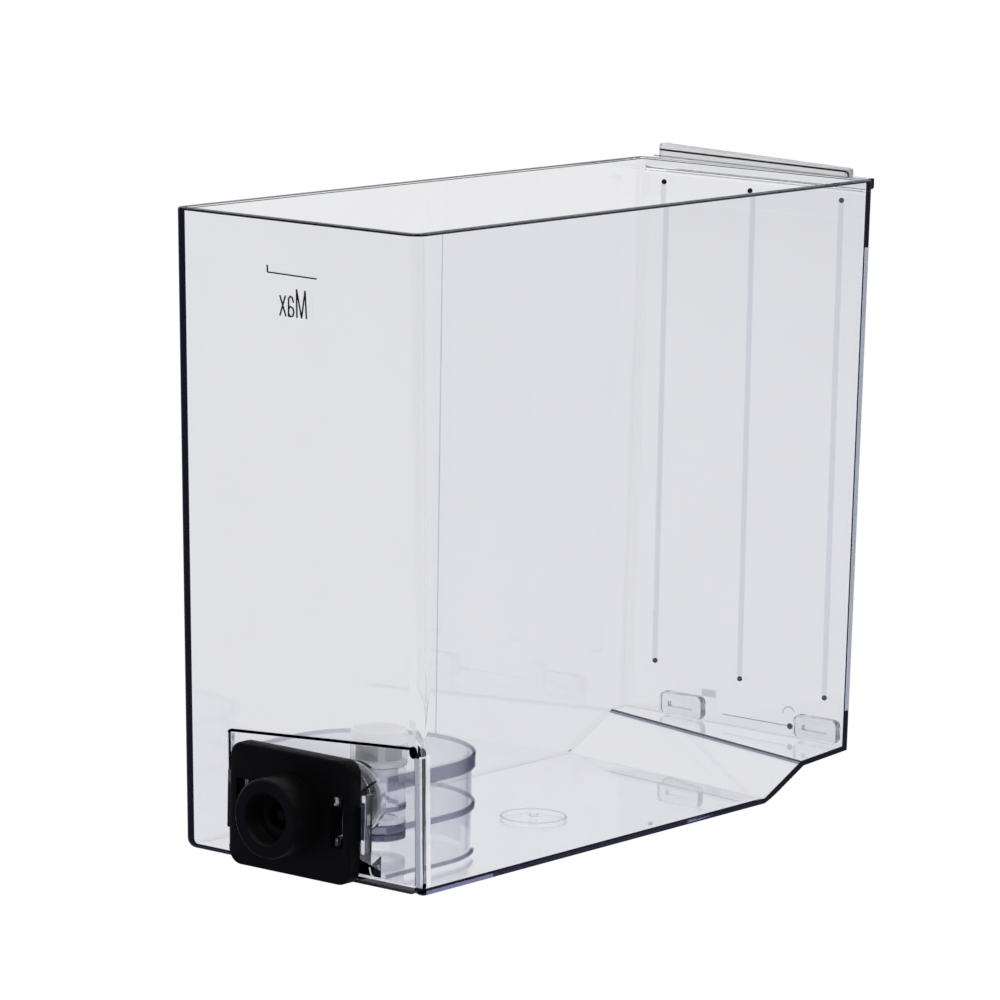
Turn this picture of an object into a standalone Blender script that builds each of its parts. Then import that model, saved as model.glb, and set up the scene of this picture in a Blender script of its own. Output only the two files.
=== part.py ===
"""Removable fresh water tank with a front outlet coupling.

Frame: origin at the middle of the underside, X across the coupling end, +Y from the
coupling end to the grip end, +Z up.  Sizes are metres, written as millimetres * MM.
"""
import math

import bmesh
import bpy
from mathutils import Matrix, Vector

MM = 0.001
GAP = 0.3 * MM

# Tank shell
TANK_WIDTH = 95.0 * MM
TANK_HALF = TANK_WIDTH / 2
TANK_HEIGHT = 200.0 * MM
WALL = 2.5 * MM
FRONT_TOP_Y = -117.6 * MM
FRONT_FOOT_Y = -109.2 * MM
REAR_TOP_Y = 116.4 * MM
REAR_FOOT_Y = 113.0 * MM
CORNER_RADIUS = 3.1 * MM
FRONT_CORNER_RADIUS = 4.6 * MM
CORNER_STEPS = 8
SHARP_RADIUS = 0.4 * MM

# Raised rear floor, reached by a ramp
RAMP_FOOT_Y = 66.4 * MM
RAMP_TOP_Y = 87.2 * MM
RAMP_RISE = 9.6 * MM
REAR_RISE = 11.1 * MM
RAMP_SKEW = 0.175
STEP_WALL = 1.3 * MM

# Grip moulded along the rear rim
GRIP_OVERHANG = 4.0 * MM
GRIP_LIP_HEIGHT = 3.5 * MM
GRIP_WEB = 0.8 * MM
GRIP_WEB_HEIGHT = 14.5 * MM
GRIP_END_INSET = 2.7 * MM
GRIP_BAR_HALF = 39.0 * MM
GRIP_BAR_DEPTH = 5.0 * MM
GRIP_BAR_HEIGHT = 3.4 * MM

# Stiffening ribs inside the rear wall
RIB_SPACING = 35.5 * MM
RIB_WIDTH = 1.6 * MM
RIB_PROUD = 0.8 * MM
RIB_FOOT_Z = 29.0 * MM
RIB_TOP_Z = 192.5 * MM

# Cut-out in the front wall and the outlet carrier that fills it
CUT_LEFT_X = -29.2 * MM
CUT_RIGHT_X = TANK_HALF - WALL
CUT_TOP_Z = 42.3 * MM
CUT_SLOPE = 0.068
CUT_CORNER = 1.8 * MM
SQUARE_TOP_Z = CUT_TOP_Z + CUT_SLOPE * CUT_RIGHT_X + GAP
CUT_DEPTH = 12.0 * MM
FACE_Y = FRONT_FOOT_Y
FLANGE = 2.5 * MM
WELL_WALL = 2.5 * MM
WELL_DEPTH = 60.0 * MM
WELL_BACK_Y = FACE_Y + WELL_DEPTH
WELL_LEFT_X = CUT_LEFT_X + GAP
WELL_RIGHT_X = 33.0 * MM
WELL_FOOT_Z = WALL + GAP
WELL_RIM_Z = 34.5 * MM
WELL_STEPS = 28
COLLAR_PROUD = 1.1 * MM
RIM_COLLAR_HEIGHT = 4.8 * MM
MID_COLLAR_Z = 16.8 * MM
MID_COLLAR_HEIGHT = 2.0 * MM
INLET_WIDTH = 12.0 * MM
INLET_HEIGHT = 6.0 * MM

# Outlet axis: parallel to Y, at this height.  Along it, "forward" is towards -Y,
# measured from the carrier's front face.
AXIS_Z = 19.3 * MM
SOCKET_BORE = 9.5 * MM
SOCKET_RADIUS = 11.5 * MM
SOCKET_BACK = -20.0 * MM
HOOK_X = 17.65 * MM
HOOK_THICK = 1.8 * MM
HOOK_HEIGHT = 2.6 * MM
HOOK_OFFSET = 6.2 * MM
HOOK_REACH = 5.0 * MM
BARB_BACK = 3.7 * MM
BARB_PROUD = 1.3 * MM
GUIDE_X = 26.8 * MM
GUIDE_WIDTH = 1.6 * MM
GUIDE_HEIGHT = 18.0 * MM
GUIDE_REACH = 3.0 * MM

# Coupling plate
PLATE_WIDTH = 48.0 * MM
PLATE_HEIGHT = 38.2 * MM
PLATE_RADIUS = 4.5 * MM
PLATE_BACK = 0.8 * MM
PLATE_FRONT = 6.2 * MM
LUG_PROUD = 1.4 * MM
LUG_HEIGHT = 10.5 * MM
LUG_FRONT = 2.8 * MM
BOSS_RADIUS = 12.35 * MM
BOSS_FRONT = 17.4 * MM
BOSS_CHAMFER = 0.8 * MM
BORE_RADIUS = 7.25 * MM
BORE_BACK = 9.0 * MM
THROAT_RADIUS = 5.6 * MM
RECESS_RADIUS = 12.3 * MM
RECESS_FRONT = 3.0 * MM
GROOVE_INNER = 13.4 * MM
GROOVE_OUTER = 15.8 * MM
GROOVE_FRONT = 1.8 * MM
SLOT_X = 18.9 * MM
SLOT_WIDTH = 4.5 * MM
SLOT_HEIGHT = 15.8 * MM
LEDGE_WIDTH = 1.3 * MM
LEDGE_FRONT = 3.4 * MM

# Valve cartridge
HEAD_RADIUS = 12.0 * MM
HEAD_FRONT = 2.7 * MM
NOSE_RADIUS = 5.3 * MM
NOSE_FRONT = 8.7 * MM
SEAT_BORE = 3.4 * MM
SEAT_BACK = -2.0 * MM
TUBE_RADIUS = 9.1 * MM
TUBE_BORE = 6.2 * MM
TUBE_BACK = -24.5 * MM
RING_FLOOR = 7.2 * MM
RING_GROOVE = 2.4 * MM
RING_MAJOR = 8.3 * MM
RING_MINOR = 0.9 * MM
FRONT_RING = -8.0 * MM
REAR_RING = -22.5 * MM
STEM_RADIUS = 2.0 * MM
STEM_FRONT = 10.0 * MM
STEM_BACK = -22.5 * MM
SEAL_RADIUS = 5.0 * MM
SEAL_THICK = 1.2 * MM
DISC_RADIUS = 5.4 * MM
DISC_THICK = 2.2 * MM
DISC_FRONT = SEAT_BACK - 2 * GAP - SEAL_THICK
DISC_BACK = DISC_FRONT - DISC_THICK
CAP_FRONT = -18.5 * MM
CAP_SPIGOT = 5.9 * MM
CAP_STEP = TUBE_BACK - GAP
CAP_BACK = -26.3 * MM
CAP_HOLE = 2.35 * MM
CAP_PORT_RADIUS = 1.1 * MM
CAP_PORT_CIRCLE = 4.15 * MM
SPRING_RADIUS = 3.9 * MM
SPRING_WIRE = 0.4 * MM
SPRING_TURNS = 5
NOZZLE_SEAL_BORE = 4.2 * MM
NOZZLE_SEAL_RADIUS = 6.95 * MM
NOZZLE_SEAL_LENGTH = 2.2 * MM

# Elbow and strainer
RISER_Y = FACE_Y + 37.0 * MM
RISER_RADIUS = 8.5 * MM
RISER_BORE = 6.5 * MM
RISER_TOP_Z = 28.0 * MM
RISER_FOOT_Z = 5.0 * MM
ELBOW_BORE_FLOOR_Z = 11.5 * MM
ELBOW_SOCKET_BACK = CAP_BACK - GAP
ELBOW_PASSAGE = 6.0 * MM
ELBOW_NECK = 7.6 * MM
ELBOW_SHOULDER = ELBOW_SOCKET_BACK - 1.0 * MM
SPIGOT_FOOT_Z = 23.5 * MM
SPIGOT_RADIUS = RISER_BORE - GAP
SPIGOT_BORE = 4.8 * MM
STRAINER_RADIUS = 9.0 * MM
STRAINER_FLANGE_Z = RISER_TOP_Z + GAP
STRAINER_WINDOW_Z = 29.8 * MM
STRAINER_ROOF_Z = 35.3 * MM
STRAINER_TOP_Z = 39.5 * MM
STRAINER_CAGE = 7.7 * MM
STRAINER_POSTS = 4
POST_WIDTH = 2.2 * MM
MESH_RADIUS = 7.3 * MM
MESH_WALL = 0.5 * MM

# Guide pads at the foot of the rear wall
PAD_LEFT_X = -28.4 * MM
PAD_RIGHT_X = 26.9 * MM
PAD_WIDTH = 17.5 * MM
PAD_HEIGHT = 8.0 * MM
PAD_DEPTH = 3.2 * MM
PAD_RADIUS = 2.2 * MM
PAD_SLOT_HEIGHT = 1.6 * MM
PAD_SLOT_DEPTH = 1.4 * MM
PAD_SLOT_MARGIN = 4.0 * MM

ROUND_STEPS = 40
HALF_STEP = math.pi / ROUND_STEPS
EXTRA = 1.0 * MM


def clear_scene():
    for old in list(bpy.data.objects):
        bpy.data.objects.remove(old, do_unlink=True)


def material(name, colour, roughness, metallic=0.0, transmission=0.0):
    mat = bpy.data.materials.new(name)
    mat.use_nodes = True
    shader = mat.node_tree.nodes["Principled BSDF"]
    shader.inputs["Base Color"].default_value = (*colour, 1.0)
    shader.inputs["Roughness"].default_value = roughness
    shader.inputs["Metallic"].default_value = metallic
    shader.inputs["Transmission Weight"].default_value = transmission
    shader.inputs["IOR"].default_value = 1.55
    return mat


def add_object(name, bm, mat=None, parent=None):
    """Turn a bmesh into an object with outward faces and smooth round sides."""
    bmesh.ops.recalc_face_normals(bm, faces=bm.faces)
    mesh = bpy.data.meshes.new(name)
    bm.to_mesh(mesh)
    bm.free()
    mesh.shade_smooth()
    mesh.set_sharp_from_angle(angle=math.radians(30))
    obj = bpy.data.objects.new(name, mesh)
    bpy.context.scene.collection.objects.link(obj)
    if mat:
        mesh.materials.append(mat)
    if parent:
        obj.parent = parent
    return obj


def add_frame(name, location, rotation=(0.0, 0.0, 0.0)):
    frame = bpy.data.objects.new(name, None)
    frame.location = location
    frame.rotation_euler = rotation
    bpy.context.scene.collection.objects.link(frame)
    return frame


def combine(target, tool, operation):
    """Cut, join or trim the target with a hidden wire tool."""
    tool.hide_render = True
    tool.display_type = "WIRE"
    modifier = target.modifiers.new(tool.name, "BOOLEAN")
    modifier.operation = operation
    modifier.solver = "EXACT"
    modifier.object = tool
    return target


def cut(target, tool):
    return combine(target, tool, "DIFFERENCE")


def join(target, tool):
    return combine(target, tool, "UNION")


def arc(centre_x, centre_y, radius, start, end, steps):
    """Points along an arc; angles in degrees, both ends included."""
    points = []
    for step in range(steps + 1):
        angle = math.radians(start + (end - start) * step / steps)
        points.append((centre_x + radius * math.cos(angle), centre_y + radius * math.sin(angle)))
    return points


def rounded_outline(x0, x1, y0, y1, radius, steps=CORNER_STEPS, front_right=None):
    """Rectangle with rounded corners, anticlockwise from the lower right corner."""
    first = radius if front_right is None else front_right
    return (
        arc(x1 - first, y0 + first, first, -90, 0, steps)
        + arc(x1 - radius, y1 - radius, radius, 0, 90, steps)
        + arc(x0 + radius, y1 - radius, radius, 90, 180, steps)
        + arc(x0 + radius, y0 + radius, radius, 180, 270, steps)
    )


def loft(rings):
    """Closed body through rings of (outline, height) with the same point count."""
    bm = bmesh.new()
    rows = [[bm.verts.new((x, y, z)) for x, y in outline] for outline, z in rings]
    count = len(rows[0])
    for low, high in zip(rows, rows[1:]):
        for i in range(count):
            j = (i + 1) % count
            bm.faces.new((low[i], low[j], high[j], high[i]))
    bm.faces.new(list(reversed(rows[0])))
    bm.faces.new(rows[-1])
    return bm


def prism(outline, low, high):
    return loft([(outline, low), (outline, high)])


def block(x0, x1, y0, y1, z0, z1):
    return prism([(x0, y0), (x1, y0), (x1, y1), (x0, y1)], z0, z1)


def turned(profile, steps=ROUND_STEPS):
    """Closed body of revolution about local Z from a closed (radius, height) profile."""
    bm = bmesh.new()
    verts = [bm.verts.new((radius, 0.0, height)) for radius, height in profile]
    edges = [bm.edges.new((verts[i - 1], verts[i])) for i in range(len(verts))]
    on_axis = [
        edge for edge in edges if all(vert.co.x < 1e-9 for vert in edge.verts)
    ]
    bmesh.ops.delete(bm, geom=on_axis, context="EDGES_FACES")
    geometry = list(bm.verts) + list(bm.edges)
    bmesh.ops.spin(
        bm, geom=geometry, cent=(0, 0, 0), axis=(0, 0, 1), angle=2 * math.pi,
        steps=steps, use_merge=True, use_duplicate=False,
    )
    bmesh.ops.remove_doubles(bm, verts=bm.verts, dist=1e-6)
    return bm


def disc(radius, low, high, steps=ROUND_STEPS):
    return turned([(0, low), (radius, low), (radius, high), (0, high)], steps)


def ring(inner, outer, low, high, steps=ROUND_STEPS):
    return turned([(inner, low), (outer, low), (outer, high), (inner, high)], steps)


def torus(major, minor, height, sides=14):
    section = arc(major, height, minor, 0, 360, sides)[:-1]
    return turned(section)


def wall_y(foot_y, top_y, z):
    """Where a drafted end wall stands at a height."""
    return foot_y + (top_y - foot_y) * z / TANK_HEIGHT


# Tank shell -----------------------------------------------------------------

def tank_ring(z, inset=0.0, square_corner=False):
    corner = SHARP_RADIUS if square_corner else FRONT_CORNER_RADIUS - inset
    outline = rounded_outline(
        -TANK_HALF + inset,
        TANK_HALF - inset,
        wall_y(FRONT_FOOT_Y, FRONT_TOP_Y, z) + inset,
        wall_y(REAR_FOOT_Y, REAR_TOP_Y, z) - inset,
        CORNER_RADIUS - inset,
        front_right=corner,
    )
    return outline, z


def under_ramp(lift):
    """Space below the stepped rear floor, set back towards -X; lift raises its upper side."""
    below = -30.0 * MM
    beyond = REAR_TOP_Y + 30.0 * MM
    shift = lift * math.tan(math.atan2(RAMP_RISE, RAMP_TOP_Y - RAMP_FOOT_Y) / 2)
    rear_slope = (REAR_RISE - RAMP_RISE) / (REAR_FOOT_Y - RAMP_TOP_Y)
    start_drop = 2.0 * MM
    start_y = RAMP_FOOT_Y - shift - start_drop * (RAMP_TOP_Y - RAMP_FOOT_Y) / RAMP_RISE
    side = [
        (start_y, lift - start_drop),
        (RAMP_TOP_Y - shift, lift + RAMP_RISE),
        (beyond, lift + RAMP_RISE + rear_slope * (beyond - RAMP_TOP_Y)),
        (beyond, below),
        (start_y, below),
    ]
    bm = prism([(y, z) for y, z in side], -TANK_WIDTH, TANK_WIDTH)
    turn = Matrix(((0, 0, 1, 0), (1, 0, 0, 0), (0, 1, 0, 0), (0, 0, 0, 1)))
    bmesh.ops.transform(bm, matrix=turn, verts=bm.verts)
    for vert in bm.verts:
        vert.co.y += RAMP_SKEW * (TANK_HALF - vert.co.x)
    return bm


def grip_section():
    """Side view of the grip: lip, cove and thickened web, as (y, z) points."""
    top = TANK_HEIGHT
    lip = GRIP_OVERHANG
    cove = 2.2 * MM
    inside = REAR_TOP_Y - 1.2 * MM
    web_face = REAR_TOP_Y + GRIP_WEB
    cove_z = top - GRIP_LIP_HEIGHT - cove
    points = [(inside, top), (inside, top - GRIP_WEB_HEIGHT)]
    points.append((web_face - 0.5 * MM, top - GRIP_WEB_HEIGHT))
    points.append((web_face, top - GRIP_WEB_HEIGHT + 1.0 * MM))
    points += [(y, z) for y, z in arc(web_face + cove, cove_z, cove, 180, 90, 5)]
    points += [(REAR_TOP_Y + lip, top - GRIP_LIP_HEIGHT), (REAR_TOP_Y + lip, top)]
    return points


def make_grip(mat):
    turn = Matrix(((0, 0, 1, 0), (1, 0, 0, 0), (0, 1, 0, 0), (0, 0, 0, 1)))
    half = TANK_HALF - GRIP_END_INSET
    bm = prism(grip_section(), -half, half)
    bmesh.ops.transform(bm, matrix=turn, verts=bm.verts)
    return add_object("grip_tool", bm, mat)


def make_grip_bar(mat):
    middle = REAR_TOP_Y - 0.5 * MM
    outline = rounded_outline(
        -GRIP_BAR_HALF, GRIP_BAR_HALF,
        middle - GRIP_BAR_DEPTH / 2, middle + GRIP_BAR_DEPTH / 2,
        GRIP_BAR_DEPTH / 2 - 0.1 * MM,
    )
    bm = prism(outline, TANK_HEIGHT - 1.0 * MM, TANK_HEIGHT + GRIP_BAR_HEIGHT)
    return add_object("grip_bar_tool", bm, mat)


def make_rib(index, mat):
    """A rib that follows the drafted inner face of the rear wall."""
    x = index * RIB_SPACING
    proud = RIB_PROUD + 1.0 * MM
    rings = []
    for z in (RIB_FOOT_Z, RIB_TOP_Z):
        inner = wall_y(REAR_FOOT_Y, REAR_TOP_Y, z) - WALL
        outline = rounded_outline(
            x - RIB_WIDTH / 2, x + RIB_WIDTH / 2,
            inner - RIB_PROUD, inner - RIB_PROUD + proud, 0.5 * MM, 3,
        )
        rings.append((outline, z))
    return add_object(f"rib_tool_{index + 1}", loft(rings), mat)


def window_outline(inset, foot_z):
    """Outline of the front cut-out, whose upper edge climbs towards +X."""
    outline = rounded_outline(
        CUT_LEFT_X + inset, CUT_RIGHT_X - inset, foot_z, CUT_TOP_Z - inset, CUT_CORNER - inset, 5
    )
    middle = CUT_TOP_Z / 2
    return [(x, z + CUT_SLOPE * x if z > middle else z) for x, z in outline]


def make_tank(mat):
    outer_rings = [
        tank_ring(0.0, square_corner=True),
        tank_ring(SQUARE_TOP_Z, square_corner=True),
        tank_ring(SQUARE_TOP_Z + 2 * MM),
        tank_ring(TANK_HEIGHT),
    ]
    tank = add_object("tank_body", loft(outer_rings), mat)
    cut(tank, add_object("under_ramp_tool", under_ramp(0.0)))
    cavity_rings = [
        tank_ring(WALL, WALL, square_corner=True),
        tank_ring(SQUARE_TOP_Z, WALL, square_corner=True),
        tank_ring(SQUARE_TOP_Z + 2 * MM, WALL),
        tank_ring(TANK_HEIGHT + EXTRA, WALL),
    ]
    cavity = add_object("cavity_tool", loft(cavity_rings))
    cut(cavity, add_object("floor_tool", under_ramp(STEP_WALL)))
    cut(tank, cavity)
    join(tank, make_grip(mat))
    join(tank, make_grip_bar(mat))
    for index in (-1, 0, 1):
        join(tank, make_rib(index, mat))
    window = window_outline(0.0, -20.0 * MM)
    opening = add_object("front_window_tool", prism(window, 0.0, CUT_DEPTH))
    opening.location = (0.0, FACE_Y + FLANGE + GAP, 0.0)
    opening.rotation_euler = (math.pi / 2, 0.0, 0.0)
    return cut(tank, opening)


# Outlet carrier ---------------------------------------------------------------

def well_outline(grow):
    """Horseshoe in plan, open side on the carrier's flange; grow moves its wall outwards."""
    centre = (WELL_LEFT_X + WELL_RIGHT_X) / 2
    radius = (WELL_RIGHT_X - WELL_LEFT_X) / 2 - COLLAR_PROUD + grow
    bend = WELL_BACK_Y + grow - radius
    front = FACE_Y + FLANGE - 0.5 * MM
    sides = [(centre - radius, front), (centre + radius, front)]
    return sides + arc(centre, bend, radius, 0, 180, WELL_STEPS)


def make_carrier(mat, axis):
    flange = window_outline(GAP, GAP)
    carrier = add_object("outlet_carrier", prism(flange, -FLANGE, 0.0), mat)
    carrier.location = (0.0, FACE_Y, 0.0)
    carrier.rotation_euler = (math.pi / 2, 0.0, 0.0)
    well = add_object("well_tool", prism(well_outline(0.0), WELL_FOOT_Z, WELL_RIM_Z))
    bands = (
        (WELL_RIM_Z - RIM_COLLAR_HEIGHT, WELL_RIM_Z - 0.2 * MM),
        (MID_COLLAR_Z, MID_COLLAR_Z + MID_COLLAR_HEIGHT),
    )
    for number, (low, high) in enumerate(bands):
        bm = prism(well_outline(COLLAR_PROUD), low, high)
        join(well, add_object(f"well_band_tool_{number}", bm))
    inside = prism(well_hollow(), 0.0, TANK_HEIGHT)
    cut(well, add_object("well_hollow_tool", inside))
    for side in (-1, 1):
        cut(well, make_inlet(side))
    join(carrier, well)
    socket = disc(SOCKET_RADIUS, SOCKET_BACK, -1.0 * MM)
    join(carrier, add_object("socket_tool", socket, parent=axis))
    bore = disc(SOCKET_BORE, SOCKET_BACK - EXTRA, EXTRA)
    cut(carrier, add_object("socket_bore_tool", bore, parent=axis))
    for side in (-1, 1):
        join(carrier, make_hook(side, HOOK_OFFSET, axis))
        join(carrier, make_hook(side, -HOOK_OFFSET, axis))
        join(carrier, make_guide(side, axis))
    return carrier


def well_hollow():
    """Inside of the well, stopping at the back of the carrier's flange."""
    outline = well_outline(-WELL_WALL)
    front = FACE_Y + FLANGE
    return [(outline[0][0], front), (outline[1][0], front)] + outline[2:]


def make_inlet(side):
    """Opening at the foot of the well that lets the last of the water through."""
    turn = math.radians(38.0) * side
    bm = block(-INLET_WIDTH / 2, INLET_WIDTH / 2, 0.0, 60 * MM, 0.0, WELL_FOOT_Z + INLET_HEIGHT)
    tool = add_object(f"inlet_tool_{side + 1}", bm)
    outline = well_outline(0.0)
    centre_x = (outline[0][0] + outline[1][0]) / 2
    radius = (outline[1][0] - outline[0][0]) / 2
    tool.location = (centre_x, WELL_BACK_Y - radius, 0.0)
    tool.rotation_euler = (0.0, 0.0, -turn)
    return tool


def make_hook(side, height, axis):
    """Snap hook that passes through a slot of the plate and catches its ledge."""
    inner = HOOK_X - HOOK_THICK / 2
    outer = HOOK_X + HOOK_THICK / 2
    half = HOOK_HEIGHT / 2
    profile = [
        (inner, -1.0 * MM),
        (outer, -1.0 * MM),
        (outer, BARB_BACK),
        (outer + BARB_PROUD, BARB_BACK),
        (outer, HOOK_REACH),
        (inner, HOOK_REACH),
    ]
    bm = prism(profile, height - half, height + half)
    turn = Matrix(((side, 0, 0, 0), (0, 0, 1, 0), (0, 1, 0, 0), (0, 0, 0, 1)))
    bmesh.ops.transform(bm, matrix=turn, verts=bm.verts)
    return add_object("hook_tool", bm, parent=axis)


def make_guide(side, axis):
    """Short upright rib beside the plate that keeps it square."""
    x = side * GUIDE_X
    half = GUIDE_HEIGHT / 2
    outline = [
        (x - GUIDE_WIDTH / 2, -half), (x + GUIDE_WIDTH / 2, -half),
        (x + GUIDE_WIDTH / 2, half), (x - GUIDE_WIDTH / 2, half),
    ]
    bm = prism(outline, -1.0 * MM, GUIDE_REACH)
    return add_object(f"guide_tool_{side + 1}", bm, parent=axis)


# Coupling plate ---------------------------------------------------------------

def make_plate(mat, axis):
    half_w = PLATE_WIDTH / 2
    half_h = PLATE_HEIGHT / 2
    outline = rounded_outline(-half_w, half_w, -half_h, half_h, PLATE_RADIUS)
    plate = add_object("coupling_plate", prism(outline, PLATE_BACK, PLATE_FRONT), mat, axis)
    boss = turned([
        (0, PLATE_BACK + 0.5 * MM),
        (BOSS_RADIUS, PLATE_BACK + 0.5 * MM),
        (BOSS_RADIUS, BOSS_FRONT - BOSS_CHAMFER),
        (BOSS_RADIUS - BOSS_CHAMFER, BOSS_FRONT),
        (0, BOSS_FRONT),
    ], 56)
    join(plate, add_object("boss_tool", boss, parent=axis))
    bore = disc(BORE_RADIUS, BORE_BACK, BOSS_FRONT + EXTRA)
    cut(plate, add_object("bore_tool", bore, parent=axis))
    throat = disc(THROAT_RADIUS, 0.0, BORE_BACK + EXTRA)
    cut(plate, add_object("throat_tool", throat, parent=axis))
    recess = disc(RECESS_RADIUS, 0.0, RECESS_FRONT)
    cut(plate, add_object("recess_tool", recess, parent=axis))
    groove = ring(GROOVE_INNER, GROOVE_OUTER, 0.0, GROOVE_FRONT)
    cut(plate, add_object("gasket_groove_tool", groove, parent=axis))
    for side in (-1, 1):
        cut(plate, make_slot(side, axis))
        join(plate, make_lug(side, axis))
    return plate


def make_lug(side, axis):
    """Thin ear at the plate's flank that slides along the carrier's guide rib."""
    edge = side * PLATE_WIDTH / 2
    x0, x1 = sorted((edge - side * 1.0 * MM, edge + side * LUG_PROUD))
    half = LUG_HEIGHT / 2
    return add_object("lug_tool", block(x0, x1, -half, half, PLATE_BACK, LUG_FRONT), parent=axis)


def make_slot(side, axis):
    """Stepped slot: a hook enters at the back and its barb rests on the ledge."""
    inner = SLOT_X - SLOT_WIDTH / 2
    outer = SLOT_X + SLOT_WIDTH / 2
    half = SLOT_HEIGHT / 2
    profile = [
        (inner, 0.0),
        (outer - LEDGE_WIDTH, 0.0),
        (outer - LEDGE_WIDTH, LEDGE_FRONT),
        (outer, LEDGE_FRONT),
        (outer, PLATE_FRONT + EXTRA),
        (inner, PLATE_FRONT + EXTRA),
    ]
    bm = prism(profile, -half, half)
    turn = Matrix(((side, 0, 0, 0), (0, 0, 1, 0), (0, 1, 0, 0), (0, 0, 0, 1)))
    bmesh.ops.transform(bm, matrix=turn, verts=bm.verts)
    return add_object(f"slot_tool_{side + 1}", bm, parent=axis)


def make_plate_gasket(mat, axis):
    inner = GROOVE_INNER + GAP
    outer = GROOVE_OUTER - GAP
    return add_object("plate_gasket", ring(inner, outer, GAP, GROOVE_FRONT - GAP), mat, axis)


def make_nozzle_seal(mat, axis):
    """Ring with a tapered lip that grips the machine's nozzle."""
    low = BORE_BACK + GAP
    high = low + NOZZLE_SEAL_LENGTH
    lip = 0.9 * MM
    profile = [
        (NOZZLE_SEAL_BORE, low),
        (NOZZLE_SEAL_RADIUS, low),
        (NOZZLE_SEAL_RADIUS, high),
        (NOZZLE_SEAL_BORE + lip, high),
        (NOZZLE_SEAL_BORE, high - lip),
    ]
    return add_object("nozzle_seal", turned(profile), mat, axis)


# Valve cartridge ----------------------------------------------------------------

def make_valve_body(mat, axis):
    half = RING_GROOVE / 2
    profile = [
        (SEAT_BORE, NOSE_FRONT),
        (SEAT_BORE, SEAT_BACK),
        (TUBE_BORE, SEAT_BACK),
        (TUBE_BORE, TUBE_BACK),
        (TUBE_RADIUS, TUBE_BACK),
    ]
    for centre in (REAR_RING, FRONT_RING):
        profile += [
            (TUBE_RADIUS, centre - half), (RING_FLOOR, centre - half),
            (RING_FLOOR, centre + half), (TUBE_RADIUS, centre + half),
        ]
    profile += [
        (TUBE_RADIUS, GAP),
        (HEAD_RADIUS, GAP),
        (HEAD_RADIUS, HEAD_FRONT),
        (NOSE_RADIUS, HEAD_FRONT),
        (NOSE_RADIUS, NOSE_FRONT),
    ]
    return add_object("valve_body", turned(profile), mat, axis)


def make_o_ring(name, centre, mat, axis):
    return add_object(name, torus(RING_MAJOR, RING_MINOR, centre), mat, axis)


def make_poppet(mat, moving):
    profile = [
        (0, STEM_FRONT),
        (STEM_RADIUS - 0.5 * MM, STEM_FRONT),
        (STEM_RADIUS, STEM_FRONT - 0.5 * MM),
        (STEM_RADIUS, DISC_FRONT),
        (DISC_RADIUS, DISC_FRONT),
        (DISC_RADIUS, DISC_BACK),
        (STEM_RADIUS, DISC_BACK),
        (STEM_RADIUS, STEM_BACK),
        (0, STEM_BACK),
    ]
    return add_object("valve_poppet", turned(profile, 28), mat, moving)


def make_poppet_seal(mat, moving):
    low = DISC_FRONT + GAP
    bm = ring(STEM_RADIUS + GAP, SEAL_RADIUS, low, low + SEAL_THICK, 32)
    return add_object("poppet_seal", bm, mat, moving)


def make_cap(mat, axis):
    """Screw-in cap that guides the rear stem and carries the spring."""
    profile = [
        (CAP_HOLE, CAP_FRONT),
        (CAP_SPIGOT, CAP_FRONT),
        (CAP_SPIGOT, CAP_STEP),
        (TUBE_RADIUS, CAP_STEP),
        (TUBE_RADIUS, CAP_BACK),
        (CAP_HOLE, CAP_BACK),
    ]
    cap = add_object("valve_cap", turned(profile, 32), mat, axis)
    for number in range(4):
        angle = math.radians(40 + 90 * number)
        drill = disc(CAP_PORT_RADIUS, CAP_BACK - EXTRA, CAP_FRONT + EXTRA, 14)
        port = add_object(f"port_tool_{number}", drill, parent=axis)
        port.location = (CAP_PORT_CIRCLE * math.cos(angle), CAP_PORT_CIRCLE * math.sin(angle), 0.0)
        cut(cap, port)
    return cap


def make_spring(mat, axis):
    """Coil of round wire between the poppet's disc and the cap."""
    front = DISC_BACK - GAP - SPRING_WIRE
    back = CAP_FRONT + GAP + SPRING_WIRE
    per_turn = 18
    sides = 6
    count = SPRING_TURNS * per_turn
    bm = bmesh.new()
    rows = []
    for step in range(count + 1):
        share = step / count
        angle = 2 * math.pi * SPRING_TURNS * share
        centre = Vector((
            SPRING_RADIUS * math.cos(angle), SPRING_RADIUS * math.sin(angle),
            front + (back - front) * share,
        ))
        outward = Vector((math.cos(angle), math.sin(angle), 0.0))
        upward = Vector((0.0, 0.0, 1.0))
        row = []
        for side in range(sides):
            turn = 2 * math.pi * side / sides
            offset = outward * math.cos(turn) + upward * math.sin(turn)
            row.append(bm.verts.new(centre + SPRING_WIRE * offset))
        rows.append(row)
    for low, high in zip(rows, rows[1:]):
        for i in range(sides):
            j = (i + 1) % sides
            bm.faces.new((low[i], low[j], high[j], high[i]))
    bm.faces.new(rows[0])
    bm.faces.new(rows[-1])
    return add_object("valve_spring", bm, mat, axis)


# Elbow and strainer -------------------------------------------------------------

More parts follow.
